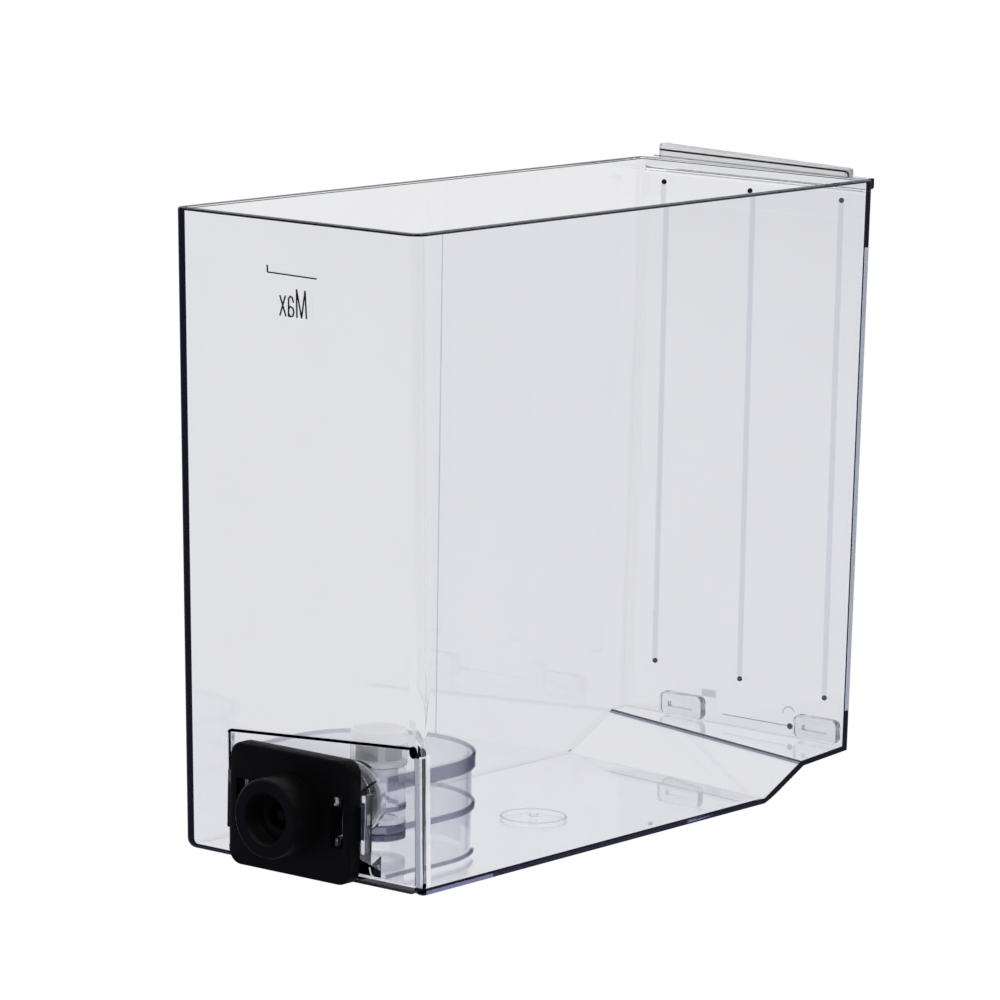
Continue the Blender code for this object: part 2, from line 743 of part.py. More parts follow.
def make_elbow(mat, axis):
    """Chamber behind the valve, with an upright riser for the strainer."""
    neck_end = FACE_Y - RISER_Y + 0.7 * MM
    outside = [
        (0, neck_end),
        (ELBOW_NECK, neck_end),
        (ELBOW_NECK, ELBOW_SHOULDER),
        (SOCKET_RADIUS, ELBOW_SHOULDER),
        (SOCKET_RADIUS, SOCKET_BACK - GAP),
        (0, SOCKET_BACK - GAP),
    ]
    inside = [
        (0, neck_end + 0.9 * MM),
        (ELBOW_PASSAGE, neck_end + 0.9 * MM),
        (ELBOW_PASSAGE, ELBOW_SOCKET_BACK),
        (SOCKET_BORE, ELBOW_SOCKET_BACK),
        (SOCKET_BORE, SOCKET_BACK + EXTRA),
        (0, SOCKET_BACK + EXTRA),
    ]
    elbow = add_object("outlet_elbow", turned(outside), mat, axis)
    riser = add_object("riser_tool", disc(RISER_RADIUS, RISER_FOOT_Z, RISER_TOP_Z))
    bore = add_object("riser_bore_tool", disc(RISER_BORE, ELBOW_BORE_FLOOR_Z, RISER_TOP_Z + EXTRA))
    for tool in (riser, bore):
        tool.location = (0.0, RISER_Y, 0.0)
        tool.rotation_euler = (0.0, 0.0, HALF_STEP)
    join(elbow, riser)
    cut(elbow, add_object("elbow_passage_tool", turned(inside), parent=axis))
    return cut(elbow, bore)


def make_strainer_frame(mat, riser_axis):
    """Spigot, flange, roof and the upright posts between them."""
    base = turned([
        (SPIGOT_BORE, SPIGOT_FOOT_Z),
        (SPIGOT_RADIUS, SPIGOT_FOOT_Z),
        (SPIGOT_RADIUS, STRAINER_FLANGE_Z),
        (STRAINER_RADIUS, STRAINER_FLANGE_Z),
        (STRAINER_RADIUS, STRAINER_WINDOW_Z),
        (SPIGOT_BORE, STRAINER_WINDOW_Z),
    ])
    frame = add_object("strainer_frame", base, mat, riser_axis)
    roof = turned([
        (0, STRAINER_ROOF_Z),
        (STRAINER_RADIUS, STRAINER_ROOF_Z),
        (STRAINER_RADIUS, STRAINER_TOP_Z - 1.0 * MM),
        (STRAINER_RADIUS - 1.0 * MM, STRAINER_TOP_Z),
        (0, STRAINER_TOP_Z),
    ])
    join(frame, add_object("strainer_roof_tool", roof, parent=riser_axis))
    for number in range(STRAINER_POSTS):
        low = STRAINER_WINDOW_Z - 0.6 * MM
        high = STRAINER_ROOF_Z + 0.6 * MM
        outer = STRAINER_RADIUS - 0.15 * MM
        post = block(STRAINER_CAGE, outer, -POST_WIDTH / 2, POST_WIDTH / 2, low, high)
        turn = Matrix.Rotation(math.radians(45 + 360 / STRAINER_POSTS * number), 4, "Z")
        bmesh.ops.transform(post, matrix=turn, verts=post.verts)
        join(frame, add_object(f"post_tool_{number}", post, parent=riser_axis))
    return frame


def make_strainer_mesh(mat, riser_axis):
    low = STRAINER_WINDOW_Z + GAP
    high = STRAINER_ROOF_Z - GAP
    bm = ring(MESH_RADIUS - MESH_WALL, MESH_RADIUS, low, high)
    return add_object("strainer_mesh", bm, mat, riser_axis)


# Rear guide pads ------------------------------------------------------------------

def make_pad(name, x0, mat):
    """Rounded pad with a shallow slot, standing on the raised floor at the rear wall."""
    floor_z = STEP_WALL + REAR_RISE
    low_z = floor_z + 2 * GAP
    inner_wall = wall_y(REAR_FOOT_Y, REAR_TOP_Y, low_z) - WALL
    x1 = x0 + PAD_WIDTH
    outline = rounded_outline(x0, x1, low_z, low_z + PAD_HEIGHT, PAD_RADIUS, 5)
    pad = add_object(name, prism(outline, 0.0, PAD_DEPTH), mat)
    pad.location = (0.0, inner_wall - GAP, 0.0)
    pad.rotation_euler = (math.pi / 2, 0.0, 0.0)
    middle_z = low_z + PAD_HEIGHT / 2
    face_y = inner_wall - GAP - PAD_DEPTH
    slot = block(
        x0 + PAD_SLOT_MARGIN, x1 - PAD_SLOT_MARGIN,
        face_y - EXTRA, face_y + PAD_SLOT_DEPTH,
        middle_z - PAD_SLOT_HEIGHT / 2, middle_z + PAD_SLOT_HEIGHT / 2,
    )
    return cut(pad, add_object(f"{name}_slot_tool", slot))


def main():
    clear_scene()
    clear = material("clear_plastic", (0.93, 0.94, 0.97), 0.05, transmission=0.9)
    clear_insert = material("clear_insert", (0.90, 0.91, 0.95), 0.08, transmission=0.9)
    clear_pad = material("clear_pad", (0.90, 0.91, 0.94), 0.15, transmission=0.8)
    black = material("black_plastic", (0.012, 0.012, 0.013), 0.42)
    grey = material("valve_plastic", (0.55, 0.56, 0.58), 0.4)
    white = material("white_plastic", (0.88, 0.88, 0.87), 0.45)
    cap_white = material("cap_plastic", (0.82, 0.82, 0.80), 0.45)
    nylon = material("nylon_mesh", (0.85, 0.86, 0.86), 0.6)
    rubber = material("seal_rubber", (0.02, 0.02, 0.02), 0.7)
    steel = material("spring_steel", (0.62, 0.62, 0.63), 0.25, metallic=1.0)

    axis = add_frame("outlet_axis", (0.0, FACE_Y, AXIS_Z), (math.pi / 2, 0.0, 0.0))
    moving = add_frame("poppet_axis", (0.0, FACE_Y, AXIS_Z), (math.pi / 2, 0.0, 0.0))
    riser_axis = add_frame("riser_axis", (0.0, RISER_Y, 0.0))

    make_tank(clear)
    make_carrier(clear_insert, axis)
    make_plate(black, axis)
    make_plate_gasket(rubber, axis)
    make_nozzle_seal(rubber, axis)
    make_valve_body(grey, axis)
    make_o_ring("o_ring_front", FRONT_RING, rubber, axis)
    make_o_ring("o_ring_rear", REAR_RING, rubber, axis)
    make_poppet(white, moving)
    make_poppet_seal(rubber, moving)
    make_spring(steel, axis)
    make_cap(cap_white, axis)
    make_elbow(clear_insert, axis)
    make_strainer_frame(white, riser_axis)
    make_strainer_mesh(nylon, riser_axis)
    make_pad("rear_guide_left", PAD_LEFT_X, clear_pad)
    make_pad("rear_guide_right", PAD_RIGHT_X, clear_pad)


main()
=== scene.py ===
"""Studio scene of a clear fresh water tank: looks, fine surfaces and materials on a fixed frame."""
import math
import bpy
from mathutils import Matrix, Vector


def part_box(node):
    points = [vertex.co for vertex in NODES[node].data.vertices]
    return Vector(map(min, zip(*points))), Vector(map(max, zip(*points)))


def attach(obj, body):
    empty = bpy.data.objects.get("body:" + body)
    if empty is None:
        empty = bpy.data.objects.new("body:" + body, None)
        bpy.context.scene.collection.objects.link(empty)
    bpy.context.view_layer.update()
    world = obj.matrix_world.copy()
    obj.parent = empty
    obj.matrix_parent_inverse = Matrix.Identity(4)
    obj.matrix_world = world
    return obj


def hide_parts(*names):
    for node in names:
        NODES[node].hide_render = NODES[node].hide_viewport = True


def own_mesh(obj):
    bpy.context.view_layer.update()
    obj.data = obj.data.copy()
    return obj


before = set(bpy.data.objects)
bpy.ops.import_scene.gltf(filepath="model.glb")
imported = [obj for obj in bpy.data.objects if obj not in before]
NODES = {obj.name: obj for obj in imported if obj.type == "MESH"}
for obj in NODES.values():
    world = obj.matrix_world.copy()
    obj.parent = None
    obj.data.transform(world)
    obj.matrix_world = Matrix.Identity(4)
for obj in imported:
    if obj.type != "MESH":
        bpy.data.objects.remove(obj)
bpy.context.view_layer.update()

from types import SimpleNamespace

import bmesh
import bpy
from mathutils import Matrix, Vector

MM = 0.001
BODY = "tank"


def node_box(name):
    low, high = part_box(name)
    return SimpleNamespace(
        x0=low[0], y0=low[1], z0=low[2], x1=high[0], y1=high[1], z1=high[2],
        mid=(Vector(low) + Vector(high)) / 2,
    )


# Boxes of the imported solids, from which every place below is worked out
TANK = node_box("tank_body")
CARRIER = node_box("outlet_carrier")
PLATE = node_box("coupling_plate")
ELBOW = node_box("outlet_elbow")
STRAINER = node_box("strainer_frame")
GAUZE = node_box("strainer_mesh")
SPRING = node_box("valve_spring")
LEFT_PAD = node_box("rear_guide_left")
RIGHT_PAD = node_box("rear_guide_right")

# Shell: the front and rear walls lean outwards as they rise
HALF = TANK.x1
GRIP_OVERHANG = 4.0 * MM
BAR_HEIGHT = 3.4 * MM
RIM_Z = TANK.z1 - BAR_HEIGHT
WALL = 2.5 * MM
FRONT_LEAN = 8.4 * MM
REAR_LEAN = 3.4 * MM
FRONT_TOP = TANK.y0
FRONT_FOOT = FRONT_TOP + FRONT_LEAN
REAR_TOP = TANK.y1 - GRIP_OVERHANG
REAR_FOOT = REAR_TOP - REAR_LEAN
CORNER = 2.2 * MM
FRONT_CORNER = 4.6 * MM
SHARP = 0.5 * MM
FOOT_ROUND = 3.2 * MM
INNER_FOOT_ROUND = 1.2 * MM
LIP_ROUND = 0.5 * MM
FLOOR = 1.8 * MM

# Step in the floor: a ramp from RAMP_FOOT to RAMP_TOP, then a gentle rise to the rear wall
RAMP_FOOT = 66.4 * MM
RAMP_TOP = 87.2 * MM
RAMP_RISE = 9.6 * MM
REAR_RISE = 11.1 * MM
RAMP_SLOPE = math.atan2(RAMP_RISE, RAMP_TOP - RAMP_FOOT)
REAR_SLOPE = (REAR_RISE - RAMP_RISE) / (REAR_FOOT - RAMP_TOP)
RAMP_SKEW = 0.175
STEP_WALL = 1.3 * MM
STEP_TILT = 0.020

# Cut-out in the front wall, and the square corner post beside it, which ends at SQUARE_TOP
GAP = 0.3 * MM
CUT_LEFT = CARRIER.x0 - GAP
CUT_RIGHT = HALF - WALL
CUT_SLOPE = 0.068
CUT_TOP = CARRIER.z1 + GAP - CUT_SLOPE * CUT_RIGHT
CUT_ROUND = 1.8 * MM
SQUARE_TOP = CUT_TOP + CUT_SLOPE * CUT_RIGHT + GAP
TAPER = 7.0 * MM

# Outlet
FACE = FRONT_FOOT
FLANGE = 2.5 * MM
AXIS_Z = PLATE.mid.z

# Streaks and strips laid on a face stand this far proud of it, and start this far inside it
PROUD = 0.04 * MM
SUNK = 0.02 * MM

SHADE_ANGLE = math.radians(16)


# Mesh helpers ------------------------------------------------------------------

def add_object(name, bm):
    """Makes an object of a mesh, smooth but for its sharp edges."""
    bmesh.ops.recalc_face_normals(bm, faces=bm.faces)
    mesh = bpy.data.meshes.new(name)
    bm.to_mesh(mesh)
    bm.free()
    mesh.shade_smooth()
    mesh.set_sharp_from_angle(angle=SHADE_ANGLE)
    obj = bpy.data.objects.new(name, mesh)
    bpy.context.scene.collection.objects.link(obj)
    return obj


def arc(cx, cy, radius, start, end, steps):
    """Points along a circle, between two angles in degrees."""
    points = []
    for step in range(steps + 1):
        angle = math.radians(start + (end - start) * step / steps)
        points.append((cx + radius * math.cos(angle), cy + radius * math.sin(angle)))
    return points


def rounded(x0, x1, y0, y1, radius, steps=10, front_right=None):
    """Rounded rectangle; front_right gives that one corner a radius of its own."""
    first = radius if front_right is None else front_right
    return (
        arc(x1 - first, y0 + first, first, -90, 0, steps)
        + arc(x1 - radius, y1 - radius, radius, 0, 90, steps)
        + arc(x0 + radius, y1 - radius, radius, 90, 180, steps)
        + arc(x0 + radius, y0 + radius, radius, 180, 270, steps)
    )


def loft(rings):
    """Closed body through rings of 3-D points with equal counts."""
    bm = bmesh.new()
    rows = [[bm.verts.new(point) for point in ring] for ring in rings]
    count = len(rows[0])
    for low, high in zip(rows, rows[1:]):
        for i in range(count):
            j = (i + 1) % count
            bm.faces.new((low[i], low[j], high[j], high[i]))
    bm.faces.new(list(reversed(rows[0])))
    bm.faces.new(rows[-1])
    return bm


def hoop(rows):
    """Closed ring from four loops: outer low, inner low, outer high, inner high."""
    bm = bmesh.new()
    loops = [[bm.verts.new(point) for point in row] for row in rows]
    count = len(loops[0])
    for first, second in ((0, 1), (1, 3), (3, 2), (2, 0)):
        for i in range(count):
            j = (i + 1) % count
            quad = (loops[first][i], loops[first][j], loops[second][j], loops[second][i])
            bm.faces.new(quad)
    return bm


def level(outline, z):
    return [(x, y, z) for x, y in outline]


def prism(outline, low, high):
    return loft([level(outline, low), level(outline, high)])


def block(x0, x1, y0, y1, z0, z1):
    return prism([(x0, y0), (x1, y0), (x1, y1), (x0, y1)], z0, z1)


def tube(points, radius, sides=10, across=(0.31, 0.17, 0.93)):
    """Round bead along a path of 3-D points; across is a direction the path never takes."""
    rings = []
    last = len(points) - 1
    for i, point in enumerate(points):
        before = Vector(points[max(i - 1, 0)])
        after = Vector(points[min(i + 1, last)])
        along = (after - before).normalized()
        side = along.cross(Vector(across)).normalized()
        up = side.cross(along)
        ring = []
        for k in range(sides):
            turn = 2 * math.pi * k / sides
            offset = side * math.cos(turn) + up * math.sin(turn)
            ring.append(Vector(point) + radius * offset)
        rings.append(ring)
    return loft(rings)


def turned(profile, steps=96):
    """Closed body of revolution about Z from a closed (radius, height) profile."""
    bm = bmesh.new()
    verts = [bm.verts.new((radius, 0.0, height)) for radius, height in profile]
    for i in range(len(verts)):
        pair = (verts[i - 1], verts[i])
        if any(vert.co.x > 1e-9 for vert in pair):
            bm.edges.new(pair)
    bmesh.ops.spin(
        bm, geom=list(bm.verts) + list(bm.edges), cent=(0, 0, 0), axis=(0, 0, 1),
        angle=2 * math.pi, steps=steps, use_merge=True, use_duplicate=False,
    )
    bmesh.ops.remove_doubles(bm, verts=bm.verts, dist=1e-6)
    return bm


def disc(radius, low, high, steps=64):
    return turned([(0, low), (radius, low), (radius, high), (0, high)], steps)


def moved(bm, matrix):
    """Applies a matrix to a mesh and hands the mesh back."""
    bmesh.ops.transform(bm, matrix=matrix, verts=bm.verts)
    return bm


# Puts a piece on the outlet axis: its own Z then runs forward, out of the carrier's face,
# and its X and Y are the tank's X and Z
OUTLET = Matrix.Translation((0.0, FACE, AXIS_Z)) @ Matrix.Rotation(math.pi / 2, 4, "X")
# The same turn for (x, z) outlines that stand on the carrier's face
UPRIGHT = Matrix.Translation((0.0, FACE, 0.0)) @ Matrix.Rotation(math.pi / 2, 4, "X")
# Sweeps a (y, z) outline across X
ACROSS = Matrix(((0, 0, 1, 0), (1, 0, 0, 0), (0, 1, 0, 0), (0, 0, 0, 1)))


def apply_modifiers(obj):
    graph = bpy.context.evaluated_depsgraph_get()
    graph.update()
    mesh = bpy.data.meshes.new_from_object(obj.evaluated_get(graph))
    old = obj.data
    obj.modifiers.clear()
    obj.data = mesh
    bpy.data.meshes.remove(old)
    return obj


def boolean(target, bm, operation="DIFFERENCE"):
    """Cuts a mesh out of the target, or joins it on, at once."""
    tool = add_object("tool", bm)
    modifier = target.modifiers.new("cut", "BOOLEAN")
    modifier.operation = operation
    modifier.solver = "EXACT"
    modifier.object = tool
    apply_modifiers(target)
    target.data.shade_smooth()
    target.data.set_sharp_from_angle(angle=SHADE_ANGLE)
    mesh = tool.data
    bpy.data.objects.remove(tool)
    bpy.data.meshes.remove(mesh)
    return target


def soften(obj, width, segments=2, angle=28.0):
    """Rounds the sharp edges as a mould does, and keeps the flats flat."""
    bevel = obj.modifiers.new("edge_rounding", "BEVEL")
    bevel.width = width
    bevel.segments = segments
    bevel.limit_method = "ANGLE"
    bevel.angle_limit = math.radians(angle)
    bevel.harden_normals = True
    bevel.use_clamp_overlap = True
    return apply_modifiers(obj)


def flatten(obj):
    """Keeps the large faces optically flat beside their rounded edges."""
    modifier = obj.modifiers.new("flat_faces", "WEIGHTED_NORMAL")
    modifier.mode = "FACE_AREA"
    modifier.weight = 100
    modifier.keep_sharp = True
    return apply_modifiers(obj)


def stand_in(obj, mat, *nodes, body=BODY):
    """Gives a finished mesh its material, its body and the solids it is drawn for."""
    obj.data.materials.clear()
    obj.data.materials.append(mat)
    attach(obj, body)
    if nodes:
        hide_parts(*nodes)
    return obj


# Materials -----------------------------------------------------------------------

# What the plastic lets through: the walls, and the painted shade of the darkest streaks and of the
# other streaks
NAVY = (0.32, 0.35, 0.56)
DUSK = (0.10, 0.12, 0.28)
GREY = (0.40, 0.41, 0.52)


def node(tree, kind, **inputs):
    """Adds a node and sets its inputs, with _ in place of a space."""
    made = tree.nodes.new(kind)
    for key, value in inputs.items():
        made.inputs[key.replace("_", " ")].default_value = value
    return made


def clear_plastic(name, tint, density, rough, ripple, weight=1.0, glow=0.0):
    """Clear moulded plastic: faces with faint flow ripple, absorption in the bulk.

    A weight below 1 makes it milky, and glow is painted light, standing for the light that it
    scatters back.
    """
    mat = bpy.data.materials.new(name)
    mat.use_nodes = True
    tree = mat.node_tree
    links = tree.links
    shader = tree.nodes["Principled BSDF"]
    shader.inputs["Transmission Weight"].default_value = weight
    shader.inputs["IOR"].default_value = 1.5
    shader.inputs["Emission Color"].default_value = (*tint, 1)
    shader.inputs["Emission Strength"].default_value = glow
    coords = node(tree, "ShaderNodeTexCoord")
    noise = node(tree, "ShaderNodeTexNoise", Scale=26.0, Detail=2.0)
    links.new(coords.outputs["Object"], noise.inputs["Vector"])
    shade = node(tree, "ShaderNodeValToRGB")
    shade.color_ramp.elements[0].color = (*[c * 0.97 for c in tint], 1)
    shade.color_ramp.elements[1].color = (*tint, 1)
    links.new(noise.outputs["Fac"], shade.inputs["Fac"])
    links.new(shade.outputs["Color"], shader.inputs["Base Color"])
    bump = node(tree, "ShaderNodeBump", Strength=ripple, Distance=0.0004)
    links.new(noise.outputs["Fac"], bump.inputs["Height"])
    links.new(bump.outputs["Normal"], shader.inputs["Normal"])
    haze = node(tree, "ShaderNodeMapRange", To_Min=rough * 0.5, To_Max=rough * 1.5)
    fine = node(tree, "ShaderNodeTexNoise", Scale=140.0, Detail=3.0)
    links.new(coords.outputs["Object"], fine.inputs["Vector"])
    links.new(fine.outputs["Fac"], haze.inputs["Value"])
    links.new(haze.outputs["Result"], shader.inputs["Roughness"])
    volume = node(tree, "ShaderNodeVolumeAbsorption", Color=(*NAVY, 1), Density=density)
    links.new(volume.outputs["Volume"], tree.nodes["Material Output"].inputs["Volume"])
    return mat


def moulded(name, colour, rough, grain=900.0, bump_strength=0.06, metallic=0.0, shine=0.5):
    """Moulded solid plastic: fine spark texture, slight mottling in colour and gloss."""
    mat = bpy.data.materials.new(name)
    mat.use_nodes = True
    tree = mat.node_tree
    links = tree.links
    shader = tree.nodes["Principled BSDF"]
    shader.inputs["Metallic"].default_value = metallic
    shader.inputs["Specular IOR Level"].default_value = shine
    coords = node(tree, "ShaderNodeTexCoord")
    broad = node(tree, "ShaderNodeTexNoise", Scale=60.0, Detail=4.0)
    fine = node(tree, "ShaderNodeTexNoise", Scale=grain, Detail=2.0)
    for texture in (broad, fine):
        links.new(coords.outputs["Object"], texture.inputs["Vector"])
    ramp = node(tree, "ShaderNodeValToRGB")
    ramp.color_ramp.elements[0].color = (*[c * 0.85 for c in colour], 1)
    ramp.color_ramp.elements[1].color = (*[min(c * 1.15, 1.0) for c in colour], 1)
    links.new(broad.outputs["Fac"], ramp.inputs["Fac"])
    links.new(ramp.outputs["Color"], shader.inputs["Base Color"])
    gloss = node(tree, "ShaderNodeMapRange", To_Min=rough - 0.06, To_Max=rough + 0.06)
    links.new(broad.outputs["Fac"], gloss.inputs["Value"])
    links.new(gloss.outputs["Result"], shader.inputs["Roughness"])
    bump = node(tree, "ShaderNodeBump", Strength=bump_strength, Distance=0.0002)
    links.new(fine.outputs["Fac"], bump.inputs["Height"])
    links.new(bump.outputs["Normal"], shader.inputs["Normal"])
    return mat


def tinted(name, absorb, density, veil=1.0):
    """Plastic that darkens what is seen through it without bending it; the streaks drawn in it are
    painted shade.
    """
    mat = bpy.data.materials.new(name)
    mat.use_nodes = True
    tree = mat.node_tree
    links = tree.links
    shader = tree.nodes["Principled BSDF"]
    shader.inputs["Transmission Weight"].default_value = 1.0
    shader.inputs["IOR"].default_value = 1.001
    shader.inputs["Roughness"].default_value = 0.0
    coords = node(tree, "ShaderNodeTexCoord")
    noise = node(tree, "ShaderNodeTexNoise", Scale=90.0, Detail=2.0)
    links.new(coords.outputs["Object"], noise.inputs["Vector"])
    shade = node(tree, "ShaderNodeValToRGB")
    shade.color_ramp.elements[0].color = (veil * 0.94, veil * 0.94, veil * 0.96, 1)
    shade.color_ramp.elements[1].color = (veil, veil, veil, 1)
    links.new(noise.outputs["Fac"], shade.inputs["Fac"])
    links.new(shade.outputs["Color"], shader.inputs["Base Color"])
    volume = node(tree, "ShaderNodeVolumeAbsorption", Color=(*absorb, 1), Density=density)
    links.new(volume.outputs["Volume"], tree.nodes["Material Output"].inputs["Volume"])
    return mat


CLEAR = clear_plastic("clear_wall", (0.995, 0.995, 1.0), 24.0, 0.008, 0.05)
INSERT = clear_plastic("clear_insert", (0.98, 0.98, 0.99), 30.0, 0.03, 0.10)
PAD = clear_plastic("clear_pad", (0.99, 0.99, 0.995), 8.0, 0.14, 0.20)
BAND = clear_plastic("clear_thick_band", (0.93, 0.93, 0.97), 240.0, 0.12, 0.15)
FROST = clear_plastic("frosted_clear", (0.985, 0.985, 0.99), 6.0, 0.42, 0.20, 0.85)
# Milky by a weight below 1; the glow of these two is painted light
MILKY = clear_plastic("milky_clear", (0.96, 0.96, 0.96), 4.0, 0.50, 0.20, 0.75, 0.16)
HAZY = clear_plastic("hazy_strainer", (0.97, 0.97, 0.98), 10.0, 0.40, 0.20, 0.85, 0.06)
# These three glow: a white painted highlight, a bluish painted highlight and a dim bluish painted
# sheen
HIGHLIGHT = clear_plastic("painted_highlight", (0.95, 0.95, 0.96), 4.0, 0.35, 0.10, 0.90, 0.18)
GLEAM = clear_plastic("corner_gleam", (0.84, 0.88, 1.0), 4.0, 0.30, 0.10, 0.95, 0.15)
SILL = clear_plastic("sill_gleam", (0.50, 0.51, 0.76), 4.0, 0.30, 0.10, 0.60, 0.05)

# From the darkest streak to the faintest; the streaks are painted shade
EDGE = tinted("painted_edge_shade", DUSK, 9000.0, 0.9)
FOLD = tinted("painted_fold_shade", GREY, 3000.0)
RING = tinted("painted_ring_shade", GREY, 2600.0, 0.97)
FAINT = tinted("painted_faint_shade", GREY, 1100.0)
SHADED = tinted("shaded_band", GREY, 900.0, 0.98)
SOFT = tinted("painted_soft_shade", GREY, 420.0, 0.98)
RIB = tinted("painted_rib_shade", GREY, 240.0)
WELL = tinted("well_wall", GREY, 70.0, 0.985)

# On the rib bosses this dark colour is painted shade
MARK = moulded("raised_mark", (0.012, 0.013, 0.026), 0.35, shine=0.12)
BLACK = moulded("black_coupling", (0.0042, 0.0042, 0.0046), 0.40, shine=0.10)
BORE = moulded("black_valve", (0.0022, 0.0022, 0.0024), 0.30, shine=0.16)
WHITE = moulded("white_acetal", (0.84, 0.84, 0.85), 0.45)
RUBBER = moulded("seal_rubber", (0.006, 0.006, 0.007), 0.62, bump_strength=0.15, shine=0.12)
STEEL = moulded("spring_wire", (0.60, 0.60, 0.62), 0.25, metallic=1.0, bump_strength=0.02)

# Solids that are shown as packed
CARRIED_OVER = {
    "plate_gasket": RUBBER, "nozzle_seal": RUBBER, "o_ring_front": RUBBER,
    "o_ring_rear": RUBBER, "poppet_seal": RUBBER, "valve_body": BORE,
    "valve_poppet": BORE, "valve_cap": WHITE, "strainer_mesh": WHITE,
}


# Tank shell ----------------------------------------------------------------------

def front_y(z):
    """Outer face of the leaning front wall at a height."""
    return FRONT_FOOT + (FRONT_TOP - FRONT_FOOT) * z / RIM_Z


def rear_y(z):
    """Outer face of the leaning rear wall at a height."""
    return REAR_FOOT + (REAR_TOP - REAR_FOOT) * z / RIM_Z


def shell_ring(z, inset=0.0, square=False, foot=(0.0, 0.0, 0.0)):
    """Level section of the shell; foot pulls in the left, right and end sides at the base."""
    left, right, ends = foot
    radius = max(CORNER - inset - ends, 0.6 * MM)
    wide = FRONT_CORNER - inset
    outline = rounded(
        -HALF + inset + left, HALF - inset - right,
        front_y(z) + inset + ends, rear_y(z) - inset - ends, radius,
        front_right=SHARP if square else wide,
    )
    return level(outline, z)


def foot_rings(base, inset, sizes, height, steps):
    """Sections of the rounded edge between the underside and the sides."""
    rings = []
    for step in range(steps):
        angle = math.pi / 2 * step / steps
        pull = 1 - math.sin(angle)
        z = base + height * (1 - math.cos(angle))
        rings.append(shell_ring(z, inset, True, tuple(size * pull for size in sizes)))
    return rings


def lip_rings(inset, side):
    """Sections of the rounded lip; side 1 closes the outer face, -1 opens the cavity."""
    rings = []
    steps = 5
    for step in range(steps + 1):
        angle = math.pi / 2 * step / steps
        pull = LIP_ROUND * (1 - math.cos(angle))
        rings.append(shell_ring(RIM_Z - LIP_ROUND * (1 - math.sin(angle)), inset + side * pull))
    return rings


def sheared(bm):
    """Skews and tilts a mesh as the step lies, which isn't square to the side walls."""
    for vert in bm.verts:
        vert.co.y += RAMP_SKEW * (HALF - vert.co.x)
        vert.co.z += STEP_TILT * (HALF - vert.co.x)
    return bm


def under_ramp(lift):
    """Space under the stepped floor; lift raises it to make the floor's upper side."""
    dip = 2 * MM
    reach = 30 * MM
    shift = lift * math.tan(RAMP_SLOPE / 2)
    beyond = REAR_TOP + reach
    start = RAMP_FOOT - shift - dip / math.tan(RAMP_SLOPE)
    outline = [(start, lift - dip), (RAMP_TOP - shift, lift + RAMP_RISE)]
    outline.append((beyond, lift + RAMP_RISE + REAR_SLOPE * (beyond - RAMP_TOP)))
    outline += [(beyond, -reach), (start, -reach)]
    return sheared(moved(prism(outline, -2 * HALF, 2 * HALF), ACROSS))


def mesh_of(obj):
    """Takes an object apart and returns its mesh."""
    bm = bmesh.new()
    bm.from_mesh(obj.data)
    mesh = obj.data
    bpy.data.objects.remove(obj)
    bpy.data.meshes.remove(mesh)
    return bm


def window_outline(inset, foot_z):
    """Cut-out as (x, z) points; its top follows the slope and its foot is level."""
    radius = CUT_ROUND - inset
    outline = rounded(CUT_LEFT + inset, CUT_RIGHT - inset, foot_z, CUT_TOP - inset, radius, 6)
    return [(x, z + CUT_SLOPE * x if z > CUT_TOP / 2 else z) for x, z in outline]


def grip_section():
    """Lip, cove and thickened web at the rear rim, as (y, z) points."""
    cove = 2.2 * MM
    lip = 3.5 * MM
    low_round = 0.8 * MM
    high_round = 0.6 * MM
    inside = REAR_TOP - 1.2 * MM
    web = REAR_TOP + 0.8 * MM
    foot = RIM_Z - 14.5 * MM
    lip_z = RIM_Z - lip
    outer = REAR_TOP + GRIP_OVERHANG
    points = [(inside, RIM_Z), (inside, foot), (web - 0.5 * MM, foot), (web, foot + 1 * MM)]
    points += arc(web + cove, lip_z - cove, cove, 180, 90, 10)
    points += arc(outer - low_round, lip_z + low_round, low_round, -90, 0, 4)
    points += arc(outer - high_round, RIM_Z - high_round, high_round, 0, 90, 4)
    return points


def make_shell():
    """Clear box with rounded foot and lip, stepped floor, rear grip and outlet cut-out."""
    outer_pull = (3.2 * MM, 1.0 * MM, 2.2 * MM)
    inner_pull = (1.2 * MM, 0.4 * MM, 0.8 * MM)
    inner_foot = FLOOR + INNER_FOOT_ROUND
    outer = foot_rings(0.0, 0.0, outer_pull, FOOT_ROUND, 7)
    outer += [shell_ring(FOOT_ROUND, square=True), shell_ring(SQUARE_TOP, square=True)]
    outer += [shell_ring(SQUARE_TOP + TAPER)] + lip_rings(0.0, 1)
    shell = add_object("tank_shell", loft(outer))
    boolean(shell, under_ramp(0.0))
    inner = foot_rings(FLOOR, WALL, inner_pull, INNER_FOOT_ROUND, 4)
    inner += [shell_ring(inner_foot, WALL, True), shell_ring(SQUARE_TOP, WALL, True)]
    inner += [shell_ring(SQUARE_TOP + TAPER, WALL)] + lip_rings(WALL, -1)
    inner.append([(x, y, RIM_Z + 1 * MM) for x, y, _ in inner[-1]])
    cavity = add_object("cavity", loft(inner))
    boolean(cavity, under_ramp(STEP_WALL))
    boolean(shell, mesh_of(cavity))
    end = HALF - 2.7 * MM
    boolean(shell, moved(prism(grip_section(), -end, end), ACROSS), "UNION")
    opening = prism(window_outline(0.0, -20 * MM), -FLANGE - GAP, 12 * MM)
    boolean(shell, moved(opening, UPRIGHT))
    flatten(shell)
    stand_in(shell, CLEAR, "tank_body")


